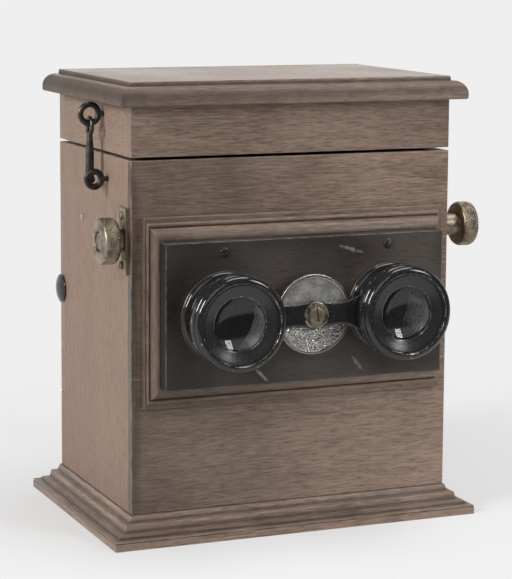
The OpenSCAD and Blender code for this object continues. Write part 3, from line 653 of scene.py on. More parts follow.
def dense(line: Array, step: float = 0.2) -> Array:
    """The same line with more points.

    Args:
        line: rows of two coordinates.
        step: the furthest that two points may lie apart.

    Returns:
        The points, in order.
    """
    gaps = np.linalg.norm(np.diff(line, axis=0), axis=1)
    counts = np.maximum(np.ceil(gaps / step).astype(int), 1)
    pieces = [a + (b - a) * np.arange(n)[:, None] / n for a, b, n in zip(line[:-1], line[1:], counts)]
    return np.concatenate(pieces + [line[-1:]])


class Spot(NamedTuple):
    """Painted shade at a place of a section: its two coordinates, its spread and its strength."""

    x: float
    y: float
    spread: float
    strength: float


def painted_shade_along(line: Array, spots: Sequence[Spot]) -> Array:
    """Painted shade along a line: the largest of strength * exp(-(d / spread)^2), with d the distance from a
    spot.

    Args:
        line: rows of two coordinates.
        spots: the spots.

    Returns:
        The painted shade at each point, from 0 to 1.
    """
    shade_spots = [spot.strength * np.exp(-((line - spot[:2]) ** 2).sum(1) / spot.spread ** 2) for spot in spots]
    return np.max(shade_spots, axis=0)


def quads(grid: Array, wrap: tuple[bool, bool]) -> Array:
    """Faces between the neighbours of a grid.

    Args:
        grid: array of rows by columns by 3.
        wrap: whether the rows and the columns join their ends.

    Returns:
        Rows of four vertex numbers.
    """
    n, m = grid.shape[:2]
    i, j = np.meshgrid(np.arange(n if wrap[0] else n - 1), np.arange(m if wrap[1] else m - 1), indexing="ij")
    i2, j2 = (i + 1) % n, (j + 1) % m
    return np.stack([i * m + j, i2 * m + j, i2 * m + j2, i * m + j2], -1).reshape(-1, 4)


def skin(name: str, grids: Sequence[Array], wrap: tuple[bool, bool] = (True, True), sharp: float = 32.0,
         marks: Optional[dict[str, Sequence[Union[float, Array]]]] = None) -> bpy.types.Object:
    """Closed mesh over one or more grids of points, with quads between neighbours.

    Args:
        name: name of the piece.
        grids: arrays of rows by columns by 3.
        wrap: whether the rows and the columns join their ends.
        sharp: angle in degrees above which an edge stays sharp.
        marks: vertex attributes, each with an array for every grid, of vectors or of numbers that are spread
            over the grid.

    Returns:
        The object, at the origin, with its doubles merged and its faces outward.
    """
    bases = np.cumsum([0] + [grid[..., 0].size for grid in grids])
    faces = np.concatenate([base + quads(grid, wrap) for base, grid in zip(bases, grids)])
    places = np.concatenate([grid.reshape(-1, 3) for grid in grids]) * MM
    mesh = bpy.data.meshes.new(name)
    mesh.from_pydata(places.tolist(), [], faces.tolist())
    for key, parts in (marks or {}).items():
        vector = np.ndim(parts[0]) == 3
        layer = mesh.attributes.new(key, "FLOAT_VECTOR" if vector else "FLOAT", "POINT")
        spread = [np.broadcast_to(part, grid.shape[:3 if vector else 2]) for part, grid in zip(parts, grids)]
        flat = np.concatenate([part.astype(np.float32).reshape(-1) for part in spread])
        layer.data.foreach_set("vector" if vector else "value", flat)
    return closed(name, mesh, sharp)


def closed(name: str, mesh: bpy.types.Mesh, sharp: float) -> bpy.types.Object:
    """Merges the mesh's doubles, turns its faces outward and shades it smooth up to an angle.

    Args:
        name: name of the piece.
        mesh: the mesh.
        sharp: angle in degrees above which an edge stays sharp.

    Returns:
        The new object.
    """
    bm = bmesh.new()
    bm.from_mesh(mesh)
    bmesh.ops.remove_doubles(bm, verts=bm.verts, dist=1e-7)
    bmesh.ops.dissolve_degenerate(bm, edges=bm.edges, dist=1e-7)
    holes = [e for e in bm.edges if e.is_boundary]
    if holes:
        bmesh.ops.holes_fill(bm, edges=holes, sides=0)
    bmesh.ops.recalc_face_normals(bm, faces=bm.faces)
    bm.to_mesh(mesh)
    bm.free()
    mesh.shade_smooth()
    mesh.set_sharp_from_angle(angle=math.radians(sharp))
    return linked(name, mesh)


def linked(name: str, data: bpy.types.ID) -> bpy.types.Object:
    """A new object in the scene.

    Args:
        name: name of the object.
        data: its mesh, lamp or camera.

    Returns:
        The object, at the origin.
    """
    obj = bpy.data.objects.new(name, data)
    bpy.context.scene.collection.objects.link(obj)
    return obj


def joined(first: bpy.types.Object, second: bpy.types.Object) -> bpy.types.Object:
    """One object with the shells of two, named after the first.

    Args:
        first: the object that stays.
        second: the object whose shell is added.

    Returns:
        The first object.
    """
    bm = bmesh.new()
    bm.from_mesh(first.data)
    bm.from_mesh(second.data)
    bm.to_mesh(first.data)
    bm.free()
    bpy.data.objects.remove(second)
    return first


class Axis(Enum):
    """Way that a turned piece's axis points: its own direction and two others across it."""

    FRONT = ((0, -1, 0), (1, 0, 0), (0, 0, 1))
    LEFT = ((-1, 0, 0), (0, -1, 0), (0, 0, 1))
    RIGHT = ((1, 0, 0), (0, 1, 0), (0, 0, 1))


Shift = Callable[[Array, Array, Array], tuple[Array, Array]]


def turned(profile: Array, centre: Point, axis: Axis, steps: int = 160,
           shift: Optional[Shift] = None) -> Array:
    """Surface of revolution: centre + h * axis + r * (cos t * side + sin t * up).

    Args:
        profile: rows of radius and height along the axis.
        centre: the point at height zero.
        axis: the way of the axis.
        steps: columns round the axis.
        shift: function of radius, height and angle grids that gives new radius and height grids.

    Returns:
        The grid of points.
    """
    r, h, t = np.broadcast_arrays(profile[:, :1], profile[:, 1:], angles(steps)[None])
    if shift is not None:
        r, h = shift(r, h, t)
    way, side, up = (np.array(v, float) for v in axis.value)
    return (np.array(centre, float) + h[..., None] * way
            + (r * np.cos(t))[..., None] * side + (r * np.sin(t))[..., None] * up)


def wire(path: Array, radius: Union[float, Array], flat: Point, steps: int = 20, ring: bool = False,
         press: float = 1.0) -> Array:
    """Wire along a flat path: each point's circle, or flattened circle, lies across the path's direction.

    Args:
        path: points of the wire's centre line.
        radius: radius of the wire, one value or one for each point.
        flat: direction at right angles to the plane of the path.
        steps: points round the wire.
        ring: whether the path closes on itself.
        press: thickness across the plane of the path, as a share of the width.

    Returns:
        The grid of points, with a closing point at each end of an open path.
    """
    r = np.broadcast_to(radius, len(path))[:, None, None]
    tangent = np.roll(path, -1, 0) - np.roll(path, 1, 0) if ring else np.gradient(path, axis=0)
    tangent /= np.linalg.norm(tangent, axis=1)[:, None]
    normal = np.array(flat, float)
    across = np.cross(tangent, normal)[:, None]
    t = angles(steps)[None, :, None]
    body = path[:, None] + r * (np.cos(t) * across + press * np.sin(t) * normal)
    if ring:
        return body
    first, last = (np.broadcast_to(path[end], (1, steps, 3)) for end in (0, -1))
    return np.concatenate([first, body, last])


def mitred(section: Array, width: float, depth: float, narrow: float = 1.0) -> list[tuple[Array, Array]]:
    """Four mitred lengths of moulding round a flat rectangle, in the plane of X and Y.

    A point of the section at inward distance w and height h lies on the length at (s * (L / 2 - v), w, h)
    for s from -1 to 1, where v is the same point's distance on the next length, and the lengths are turned
    by quarter turns. The run attribute keeps the length's own coordinates, so that its grain follows it,
    moved on from length to length, so that no two have the same grain.

    Args:
        section: rows of inward distance and height, for the lengths along X.
        width: outside size along X.
        depth: outside size along Y.
        narrow: share of the inward distance that the lengths along Y have.

    Returns:
        For each length, its grid of points and its run attribute in metres.
    """
    s = np.linspace(-1, 1, 9)[:, None]
    w, lengths = section[None, :, 0], []
    apart = 400
    for turn in range(4):
        long, far = (width, depth) if turn % 2 == 0 else (depth, width)
        inward, beside = (w, w * narrow) if turn % 2 == 0 else (w * narrow, w)
        x, y, z = np.broadcast_arrays(s * (long / 2 - beside), inward - far / 2, section[None, :, 1])
        cos, sin = math.cos(turn * QUARTER), math.sin(turn * QUARTER)
        run = points(x + apart * turn, y, z) * MM
        lengths.append((points(x * cos - y * sin, x * sin + y * cos, z), run))
    return lengths


def moulding(name: str, section: Array, spots: Sequence[Spot],
             lengths: Sequence[tuple[Array, Array]]) -> bpy.types.Object:
    """Mitred moulding with painted shade at spots of its section and its grain along each length.

    Args:
        name: name of the piece.
        section: rows of inward distance and height.
        spots: the painted shade on the section.
        lengths: for each length, its grid of points and its run attribute.

    Returns:
        The piece.
    """
    grids, runs = zip(*lengths)
    soil = [painted_shade_along(section, spots)] * len(grids)
    return skin(name, grids, OPEN_ENDS, marks={"run": runs, "soil": soil})


@dataclass(frozen=True)
class Screw:
    """Slotted screw: a domed head on a shank, with a straight slot sunk across the head."""

    head_r: float
    shank_r: float
    slot: float
    dome: float = 0.35
    sunk: float = 0.55
    slope: float = 0.12

    def grid(self, seat: Point, axis: Axis, tall: float, deep: float, turn: float) -> Array:
        """Surface of the screw.

        The head's height is tall * (1 - dome * (r / R)^4), less sunk * tall within half the slot's width of
        the line at angle turn. The slot's walls lean over the width slope.

        Args:
            seat: where the head meets its seat.
            axis: the way that the head faces.
            tall: height of the head.
            deep: length of the shank.
            turn: angle of the slot in radians.

        Returns:
            The grid of points, from the middle of the head to the end of the shank.
        """
        share = np.linspace(0, 1, 40)
        head = points(self.head_r * share, tall * (1 - self.dome * share ** 4))
        rest = [(self.head_r, 0.02 * tall), (self.head_r, 0), (self.shank_r, 0), (self.shank_r, -deep),
                (0, -deep)]

        def sink(radius: Array, height: Array, t: Array) -> tuple[Array, Array]:
            """Lowers the head within the slot.

            Args:
                radius: the radius grid.
                height: the height grid.
                t: the angle grid.

            Returns:
                The same radius and the sunk height.
            """
            across = np.abs(radius * np.sin(t - turn))
            cut = np.clip((self.slot / 2 + self.slope / 2 - across) / self.slope, 0, 1)
            return radius, height - self.sunk * tall * cut * (height > 0.3 * tall)

        return turned(np.concatenate([head, rest]), seat, axis, 240, sink)


@dataclass(frozen=True)
class Box:
    """Box of a solid node."""

    low: Array
    high: Array

    @classmethod
    def of(cls, node: str) -> "Box":
        """The box of a solid node of the frame."""
        low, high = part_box(node)
        return cls(np.array(low) / MM, np.array(high) / MM)

    @property
    def middle(self) -> Array:
        """Its middle."""
        return (self.low + self.high) / 2

    @property
    def size(self) -> Array:
        """Its size along each axis."""
        return self.high - self.low


# Sub-assemblies


@dataclass
class Assembly:
    """A sub-assembly: the frame with its solids, and the finishes."""

    frame: dict
    palette: Palette

    def build(self) -> None:
        """Makes the pieces that stand for solids."""
        raise NotImplementedError

    def dress(self) -> None:
        """Gives the solids that stay their finishes. Here there are none."""

    def paint(self, finish: Finish, *nodes: str, run: Optional[Run] = None) -> None:
        """Gives solid nodes a finish.

        Args:
            finish: the finish.
            nodes: the solid nodes.
            run: the way of the grain, for wood.
        """
        material = self.palette.of(finish, run)
        for node in nodes:
            mesh = self.frame["nodes"][node].data
            mesh.materials.clear()
            mesh.materials.append(material)
            LOG.info("%s keeps its solid, in %s", node, material.name)

    def settle(self, piece: bpy.types.Object, body: str, slot: str, node: str, finish: Finish,
               run: Optional[Run] = None) -> None:
        """Gives a finished piece its material, its body and the solid node that it stands for.

        Args:
            piece: the piece.
            body: the body that it moves with.
            slot: the record's material slot; not used.
            node: the solid node that it replaces.
            finish: its finish.
            run: the way of the grain, for wood.
        """
        piece.data.materials.clear()
        piece.data.materials.append(self.palette.of(finish, run))
        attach(piece, body)
        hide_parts(node)
        LOG.info("%s stands for %s", piece.name, node)


@dataclass
class Case(Assembly):
    """Boards, plinth and inside fittings of the case."""

    plinth_out: float = 9.4
    plinth_high: float = 11.0
    # Painted shade along the plinth's hollows, steps and the groove over the toe.
    shade_spots: tuple[Spot, ...] = (Spot(2.6, 4.0, 0.8, 1.0), Spot(5.5, 5.6, 0.8, 0.9), Spot(8.1, 8.7, 0.7, 0.8),
                              Spot(9.3, 11.0, 0.5, 1.0), Spot(0.3, 2.92, 0.3, 1.0))

    def plinth_section(self) -> Array:
        """Plinth section: toe, hollow member and cove up to the case.

        Returns:
            Rows of inward distance and height.
        """
        out, high = self.plinth_out, self.plinth_high
        return dense(filleted([
            (out, 0, 0), (0, 0, 0.15), (0, 2.75, 0.1), (0.3, 2.85, 0.05), (0.3, 3.0, 0.05), (0.05, 3.1, 0.1),
            (0.15, 3.45, 0.3), (2.4, 3.75, 0.3), (3.0, 4.75, 0.25), (5.4, 5.3, 0.6), (5.95, 8.0, 0.4),
            (8.0, 8.45, 0.5), (8.75, 10.7, 0.3), (out, high, 0)], False))

    def build(self) -> None:
        """Builds the plinth's mitred lengths."""
        wide, deep, _ = Box.of("plinth_mouldings").size
        section = self.plinth_section()
        plinth = moulding("plinth", section, self.shade_spots, mitred(section, wide, deep))
        self.settle(plinth, "case", "case_wood", "plinth_mouldings", Palette.plinth, Run.PIECE)

    def dress(self) -> None:
        """Gives each solid board and fitting its finish."""
        self.paint(Palette.front, "front_lower_board", "front_upper_board", run=Run.ACROSS)
        self.paint(Palette.side, "left_side", "right_side", run=Run.UPRIGHT)
        self.paint(Palette.case, "back_lower_board", "back_upper_board", "bottom_board", run=Run.ACROSS)
        self.paint(Palette.inside, "carriage_runners", run=Run.DEEP)
        self.paint(Palette.inside, "septum", "slide_guides", run=Run.UPRIGHT)
        self.paint(Palette.inside, "slide_gate", "slide_rest", run=Run.ACROSS)
        self.paint(Palette.brass, "lid_hinge_case_leaves", "door_hinge_case_leaves", "hinge_pins",
                   "case_hinge_screws")
        self.paint(Palette.plate_brass, "bearing_plates", "plate_screws")
        self.paint(Palette.steel, "gate_pins")


@dataclass
class Lid(Assembly):
    """Moulded top, skirt boards and fittings of the lid."""

    lip_high: float = 2.0
    lip_round: float = 1.6
    ovolo_wide: float = 4.6
    step_high: float = 1.7
    step_in: float = 5.1
    edge_in: float = 5.3
    under_in: float = 9.0
    top_in: float = 12.0
    # Painted shade on the ovolo, deepest on its lower part, and under the lip.
    shade_spots: tuple[Spot, ...] = (Spot(0.5, 3.8, 2.3, 0.8), Spot(2.0, 6.1, 2.0, 0.45), Spot(4.5, 0.0, 3.0, 0.85))

    def edge_section(self, tall: float) -> Array:
        """Lid edge: rounded lip, ovolo, small flat and square top edge.

        Args:
            tall: height of the top board.

        Returns:
            Rows of inward distance and height.
        """
        foot = tall - self.step_high
        a = np.linspace(0, QUARTER, 16)
        ovolo = points(self.ovolo_wide * (1 - np.cos(a)), self.lip_high + (foot - self.lip_high) * np.sin(a))
        lower = filleted([(self.under_in, 0, 0), (0, 0, self.lip_round), (0, self.lip_high, 0)], False)
        upper = filleted([(*ovolo[-1], 0), (self.step_in, foot, 0.12), (self.edge_in, tall, 0.3),
                          (self.top_in, tall, 0)], False)
        return dense(np.concatenate([lower, ovolo[1:], upper[1:]]))

    def build(self) -> None:
        """Builds the top board: each point of the section gives a rectangle that far inside the outline."""
        box = Box.of("lid_top")
        wide, deep, tall = box.size
        section = self.edge_section(tall)
        inset, height = section[:, :1], section[:, 1:]
        corner_x, corner_y = np.array([(-1, 1, 1, -1), (-1, -1, 1, 1)])
        grid = points(corner_x * (wide / 2 - inset), corner_y * (deep / 2 - inset), box.low[2] + height)
        # Painted shade in the quirk at the foot of the step, and the spots below it.
        soil = painted_shade_along(section, (Spot(5.2, tall - 1.5, 0.8, 0.95), *self.shade_spots))[:, None]
        top = skin("lid_top_board", [grid], OPEN_ENDS, marks={"soil": [soil]})
        self.settle(top, "lid", "case_wood", "lid_top", Palette.top, Run.ACROSS)

    def dress(self) -> None:
        """Gives the skirt boards and hinge leaves their finishes."""
        self.paint(Palette.lid, "lid_front", "lid_back", run=Run.ACROSS)
        self.paint(Palette.side, "lid_left", "lid_right", run=Run.DEEP)
        self.paint(Palette.brass, "lid_hinge_lid_leaves", "lid_hinge_screws")


@dataclass
class HookAndEyes(Assembly):
    """Iron hook on the lid's screw eye, and the screw eye on the case.

    An eye's wire is half its width in the plane of the ring and half its thickness across that plane. The
    shank's radii stand at the points of its straight length that shank_at counts.
    """

    lid_wire: tuple[float, float] = (1.15, 1.0)
    case_wire: tuple[float, float] = (1.25, 0.9)
    stem_r: float = 1.0
    stem_taper: float = 0.12
    loop_r: float = 2.95
    loop_wire: float = 0.8
    shank_r: tuple[float, ...] = (1.0, 1.25, 1.6, 1.65)
    shank_at: tuple[int, ...] = (0, 5, 14, 29)
    bend_r: float = 2.0
    tip_r: float = 1.4
    tip_taper: float = 0.3
    tip_long: float = 0.8

    def build(self) -> None:
        """Builds the two eyes and the hook from bent wire."""
        self.settle(self.eye("lid_eye", *self.lid_wire), "lid", "iron", "lid_eye", Palette.iron)
        self.settle(self.eye("case_eye", *self.case_wire), "case", "iron", "case_eye", Palette.iron)
        self.settle(self.hook(), "hook", "iron", "hook", Palette.iron)

    def eye(self, node: str, radius: float, half: float) -> bpy.types.Object:
        """Screw eye: a forged ring in the X-Z plane, a little flattened, with a shank to its right.

        Args:
            node: the solid node.
            radius: half the width of its wire, in the plane of the ring.
            half: half the thickness of its wire, across that plane.

        Returns:
            The piece.
        """
        box = Box.of(node)
        mean = box.size[2] / 2 - radius
        middle = np.array([box.low[0] + mean + radius, *box.middle[1:]])
        t = angles(72)
        thick = radius * np.minimum(1 + 0.05 * np.sin(3 * t + 0.6), 1)
        circle = middle + mean * points(np.cos(t), 0, np.sin(t))
        ring = wire(circle, thick, (0, 1, 0), ring=True, press=half / radius)
        share = np.linspace(0, 1, 24)
        end = box.high[0] - 0.05
        line = points(middle[0] + mean + (end - middle[0] - mean) * share, *middle[1:])
        stem = wire(line, self.stem_r - self.stem_taper * share, (0, 1, 0))
        return joined(skin(node + "_ring", [ring]), skin(node + "_stem", [stem], OPEN_ENDS))

    def hook(self) -> bpy.types.Object:
        """Hook: a closed loop, a shank that thickens downward and a bend to a blunt tip.

        Returns:
            The piece.
        """
        box = Box.of("hook")
        x = box.middle[0]
        y, top = box.high[1:] - self.loop_r - self.loop_wire
        t = angles(72)
        loop = points(x, y + self.loop_r * np.cos(t), top + self.loop_r * np.sin(t))
        level, y_bend = box.low[2] + self.tip_r, y - self.bend_r
        count = self.shank_at[-1] + 1
        straight = points(x, y, np.linspace(top - self.loop_r + 0.3, level + self.bend_r, count))
        a = np.linspace(0, QUARTER, 16)[1:]
        bend = points(x, y_bend + self.bend_r * np.cos(a), level + self.bend_r * (1 - np.sin(a)))
        end = np.linspace(0, 1, 8)[1:]
        tip = points(x, y_bend - self.tip_long * end, level)
        thick = np.concatenate([np.interp(np.arange(count), self.shank_at, self.shank_r),
                                np.linspace(self.shank_r[-1], self.tip_r, len(a)),
                                self.tip_r - self.tip_taper * end ** 2])
        shank = wire(np.concatenate([straight, bend, tip]), thick, (1, 0, 0))
        ring = skin("hook_loop", [wire(loop, self.loop_wire, (1, 0, 0), ring=True)])
        return joined(ring, skin("hook_shank", [shank], OPEN_ENDS))


@dataclass
class Carriage(Assembly):
    """Moulded frame, lens panel, mounts and racks of the sliding lens carriage."""

    moulding_w: float = 8.4
    moulding_side: float = 4.8
    flat_high: float = 2.5
    quirk_in: float = 3.9
    spring: float = 3.0
    crown: float = 7.0
    # Painted shade on the outer flat, in the quirk and where the crown meets the panel.
    shade_spots: tuple[Spot, ...] = (Spot(1.1, 2.5, 1.2, 0.22), Spot(3.65, 2.4, 0.5, 0.6), Spot(8.4, 7.0, 1.8, 0.6))
    mount_bore: float = 15.06
    spigot_r: float = 16.0
    lip_out: float = 0.6
    lip_high: float = 1.5
    screw: Screw = Screw(1.8, 0.8, 0.5)
    screw_turns: tuple[float, float] = (0.3, 1.2)

    def section(self) -> Array:
        """Frame section: edge, flat, bead, quirk and a crown that swells up to the panel.

        Returns:
            Rows of inward distance and height.
        """
        a = np.linspace(0, QUARTER, 14)
        flat, quirk = self.flat_high, self.quirk_in
        swell = points(quirk + (self.moulding_w - quirk) * (1 - np.cos(a)),
                       self.spring + (self.crown - self.spring) * np.sin(a))
        lower = filleted([
            (self.moulding_w, 0, 0), (0, 0, 0), (0, flat, 0.3), (2.1, flat, 0.1), (2.25, 3.2, 0.3),
            (3.2, 3.25, 0.35), (3.45, flat, 0.12), (quirk, flat, 0.1), (quirk, self.spring, 0)], False)
        return dense(np.concatenate([lower, swell[1:]]))

    def build(self) -> None:
        """Builds the frame's four mitred lengths, the two mounts and the panel screws."""
        box = Box.of("frame_mouldings")
        section = self.section()
        narrow = self.moulding_side / self.moulding_w
        lengths = [(points(p[..., 0], box.high[1] - p[..., 2], box.middle[2] + p[..., 1]), run)
                   for p, run in mitred(section, box.size[0], box.size[2], narrow)]
        frame = moulding("lens_frame", section, self.shade_spots, lengths)
        self.settle(frame, "carriage", "case_wood", "frame_mouldings", Palette.frame, Run.PIECE)
        for node in ("eyepiece_mount_left", "eyepiece_mount_right"):
            self.settle(self.mount(node), "carriage", "black_lacquer", node, Palette.lacquer)
        self.settle(self.panel_screws(), "carriage", "steel", "panel_screws", Palette.iron)

    def mount(self, node: str) -> bpy.types.Object:
        """Fixed mount: spigot, low neck and a rolled lip, turned about the lens axis.

        Args:
            node: the solid node.

        Returns:
            The piece, marked as worn on its lip.
        """
        box = Box.of(node)
        face = Box.of("lens_panel").low[1]
        back, reach = face - box.high[1], face - box.low[1]
        r = box.size[0] / 2
        neck, lip = r - self.lip_out, reach - self.lip_high
        profile = filleted([
            (self.mount_bore, back, 0), (self.spigot_r, back, 0), (self.spigot_r, 0, 0), (neck, 0, 0),
            (neck, lip, 0.15), (r, lip + 0.05, 0.6), (r, reach, 0.6), (self.mount_bore, reach, 0.2)])
        grid = turned(profile, (box.middle[0], face, box.middle[2]), Axis.FRONT)
        worn = np.clip((profile[:, :1] - r) / 0.3 + 1, 0, 1) * (profile[:, 1:] > 0.5)
        return skin(node + "_turned", [grid], marks={"worn": [worn]})

    def panel_screws(self) -> bpy.types.Object:
        """Two slotted screws in the top of the panel.

        Returns:
            The piece.
        """
        box = Box.of("panel_screws")
        face = Box.of("lens_panel").low[1]
        places = (box.low[0] + self.screw.head_r, box.high[0] - self.screw.head_r)
        tall, deep = face - box.low[1], box.high[1] - face
        grids = [self.screw.grid((x, face, box.middle[2]), Axis.FRONT, tall, deep, turn)
                 for x, turn in zip(places, self.screw_turns)]
        return skin("panel_screw_heads", grids, OPEN_ENDS)

    def dress(self) -> None:
        """Gives the panel, the sleeve, the racks and the post their finishes."""
        self.paint(Palette.panel, "lens_panel", run=Run.ACROSS)
        self.paint(Palette.inside, "carriage_sleeve", run=Run.ACROSS)
        self.paint(Palette.brass, "racks", "wheel_post")


@dataclass
class Eyepieces(Assembly):
    """Two black eyepieces with their lenses, the bridge between them and its spindle and screw."""

    barrel_r: float = 17.3
    neck_r: float = 15.7
    tube_r: float = 15.0
    tube_bore: float = 13.0
    foot_at: float = 2.3
    seat_r: float = 12.05
    seat_back: float = 12.2
    mouth_r: float = 9.95
    mouth_back: float = 3.6
    lens_r: float = 12.0
    lens_sag: float = 1.4
    bar_half: float = 4.0
    bar_flare: float = 3.2
    flare_from: float = 8.0
    boss_r: float = 5.0
    boss_bore: float = 2.02
    boss_high: float = 0.3
    boss_spread: float = 5.5
    squareness: float = 0.45
    crest_wear: float = 0.58
    lip_wear: float = 0.55
    brink_wear: float = 0.85
    boss_wear: float = 0.76
    screw: Screw = Screw(3.2, 1.0, 0.75)
    screw_turn: float = math.radians(98)

    def build(self) -> None:
        """Builds the barrels, lenses, bridge and bridge screw."""
        for side in ("left", "right"):
            barrel, lens = f"eyepiece_{side}", f"lens_{side}"
            self.settle(self.barrel(barrel), "eyepieces", "black_lacquer", barrel, Palette.lacquer)
            self.settle(self.glass(lens), "eyepieces", "lens_glass", lens, Palette.lens)
        self.settle(self.bridge(), "eyepieces", "black_lacquer", "bridge", Palette.lacquer)
        self.settle(self.bridge_screw(), "eyepieces", "brass", "bridge_screw", Palette.screw_brass)

    def barrel(self, node: str) -> bpy.types.Object:
        """Eyepiece: draw tube, rolled foot, neck, bead, round front ring and a dished stop before the lens.

        Args:
            node: the solid node.

        Returns:
            The piece, marked as worn on its crests and its mouth, and as matt inside its front ring.
        """
        box = Box.of(node)
        face = Box.of("lens_panel").low[1]
        back, reach = face - box.high[1], face - box.low[1]
        start, rim, foot = self.foot_at, box.size[0] / 2, self.barrel_r - self.neck_r
        mouth_r, edge = self.mouth_r, np.array([rim, reach, 0])
        step = np.array([(-1.5, -3.1, 0), (-1.6, -2.9, 0.1), (-0.3, -2.9, 0.3), (-0.3, -1.85, 0)])
        inner = np.array([(-2.5, 0, 0), (-2.85, -0.35, 0.25), (-3.05, -1.15, 0.12), (-3.4, -1.25, 0.1),
                          (-3.8, -1.15, 0.2)])
        dish = [(12.0, reach - 1.85, 3.0), (mouth_r + 0.5, reach - 2.3, 0.2), (mouth_r, reach - 2.55, 0.12),
                (mouth_r, reach - self.mouth_back, 0), (self.seat_r, reach - self.mouth_back, 0),
                (self.seat_r, reach - self.seat_back, 0), (self.tube_bore, reach - self.seat_back, 0)]
        profile = np.concatenate([
            [(self.tube_bore, back), (self.tube_r, back), (self.tube_r, start)],
            oval((self.neck_r, start), foot, foot, 0, 90),
            oval((rim - 1.6, reach - 5.9), 1.6, 2.6, -82, 84, 24),
            filleted(edge + step, False),
            oval((rim - 2.4, reach - 1.85), 2.1, 1.85, 4, 90, 18),
            filleted([*(edge + inner), *dish], False)])
        grid = turned(profile, (box.middle[0], face, box.middle[2]), Axis.FRONT, 200)
        r, h = profile[:, :1], profile[:, 1:]
        crest = self.crest_wear * np.clip((r - (rim - 0.5)) / 0.4, 0, 1) * (h > start + 1)
        lip = self.lip_wear * np.exp(-((r - (rim - 1.2)) / 0.6) ** 2) * (h > reach - 1.6)
        mouth = np.exp(-((r - mouth_r - 0.25) / 0.3) ** 2) * (h > reach - 2.9)
        brink = self.brink_wear * np.exp(-((r - (rim - 2.7)) / 0.25) ** 2) * (h > reach - 1.0)
        worn = np.max([crest, lip, mouth, brink], axis=0)
        matt = (r < min(rim - 3.5, 14.5)) * (1 - mouth)
        return skin(node + "_turned", [grid], marks={"worn": [worn], "matt": [matt]})

    def glass(self, node: str) -> bpy.types.Object:
        """Lens: two spherical faces, z = sqrt(R^2 - r^2) - sqrt(R^2 - edge^2), round a straight edge.

        Args:
            node: the solid node.

        Returns:
            The piece.
        """
        box = Box.of(node)
        ball = (self.lens_r ** 2 + self.lens_sag ** 2) / (2 * self.lens_sag)
        r = self.lens_r * np.sin(np.linspace(0, QUARTER, 28))
        rise = np.sqrt(ball ** 2 - r ** 2) - math.sqrt(ball ** 2 - self.lens_r ** 2)
        half = box.size[1] / 2 - self.lens_sag
        profile = np.concatenate([points(r, half + rise), points(r, -half - rise)[::-1]])
        return skin(node + "_ground", [turned(profile, box.middle, Axis.FRONT, 96)], OPEN_ENDS)

    def bridge(self) -> bpy.types.Object:
        """Bridge: a bar with rounded corners and a boss in its middle.

        The bar's half height swells by exp(-(x / spread)^2) to the boss and grows with the square of the
        distance towards the barrels, whose necks cut its ends.

        Returns:
            The piece, marked as worn on the boss.
        """
        box = Box.of("bridge")
        lens_x = Box.of("eyepiece_right").middle[0]
        front, back = box.low[1] + self.boss_high, box.high[1]
        s = np.linspace(-1, 1, 81)[:, None]
        a = angles(48)[None, :]
        start, end = self.flare_from, lens_x - self.neck_r
        flare = np.clip(np.abs(s) * end - start, 0, None) / (end - start)
        swell = np.exp(-(s * end / self.boss_spread) ** 2)
        half = self.bar_half + self.bar_flare * flare ** 2 + (self.boss_r - self.bar_half) * swell
        round_y, round_z = (np.sign(v) * np.abs(v) ** self.squareness for v in (np.cos(a), np.sin(a)))
        z = half * round_z
        x = s * (lens_x - np.sqrt((self.neck_r + 0.03) ** 2 - z ** 2))
        bar = points(x, (front + back) / 2 + (back - front) / 2 * round_y, box.middle[2] + z)
        first, last = (np.broadcast_to(row.mean(0), (1, *row.shape)) for row in (bar[0], bar[-1]))
        bar = np.concatenate([first, bar, last])
        piece = skin("bridge_bar", [bar], OPEN_ENDS, marks={"worn": [0.0]})
        bore, out, high = self.boss_bore, self.boss_r, self.boss_high
        profile = filleted([(bore, -1.5, 0), (out, -1.5, 0), (out, high, 0.35), (out - 1.1, high, 0.1),
                            (bore, high, 0)])
        ring = turned(profile, (box.middle[0], front, box.middle[2]), Axis.FRONT, 96)
        worn = self.boss_wear * (profile[:, 1:] > 0.1)
        return joined(piece, skin("bridge_boss", [ring], marks={"worn": [worn]}))

    def bridge_screw(self) -> bpy.types.Object:
        """Slotted screw in the middle of the bridge.

        Returns:
            The piece.
        """
        box = Box.of("bridge_screw")
        seat = Box.of("bridge").low[1]
        grid = self.screw.grid((box.middle[0], seat, box.middle[2]), Axis.FRONT, seat - box.low[1],
                               box.high[1] - seat, self.screw_turn)
        return skin("bridge_screw_head", [grid], OPEN_ENDS)

    def dress(self) -> None:
        """Gives the rings and the spindle their finishes."""
        self.paint(Palette.lacquer, "lens_rings")
        self.paint(Palette.steel, "bridge_spindle")


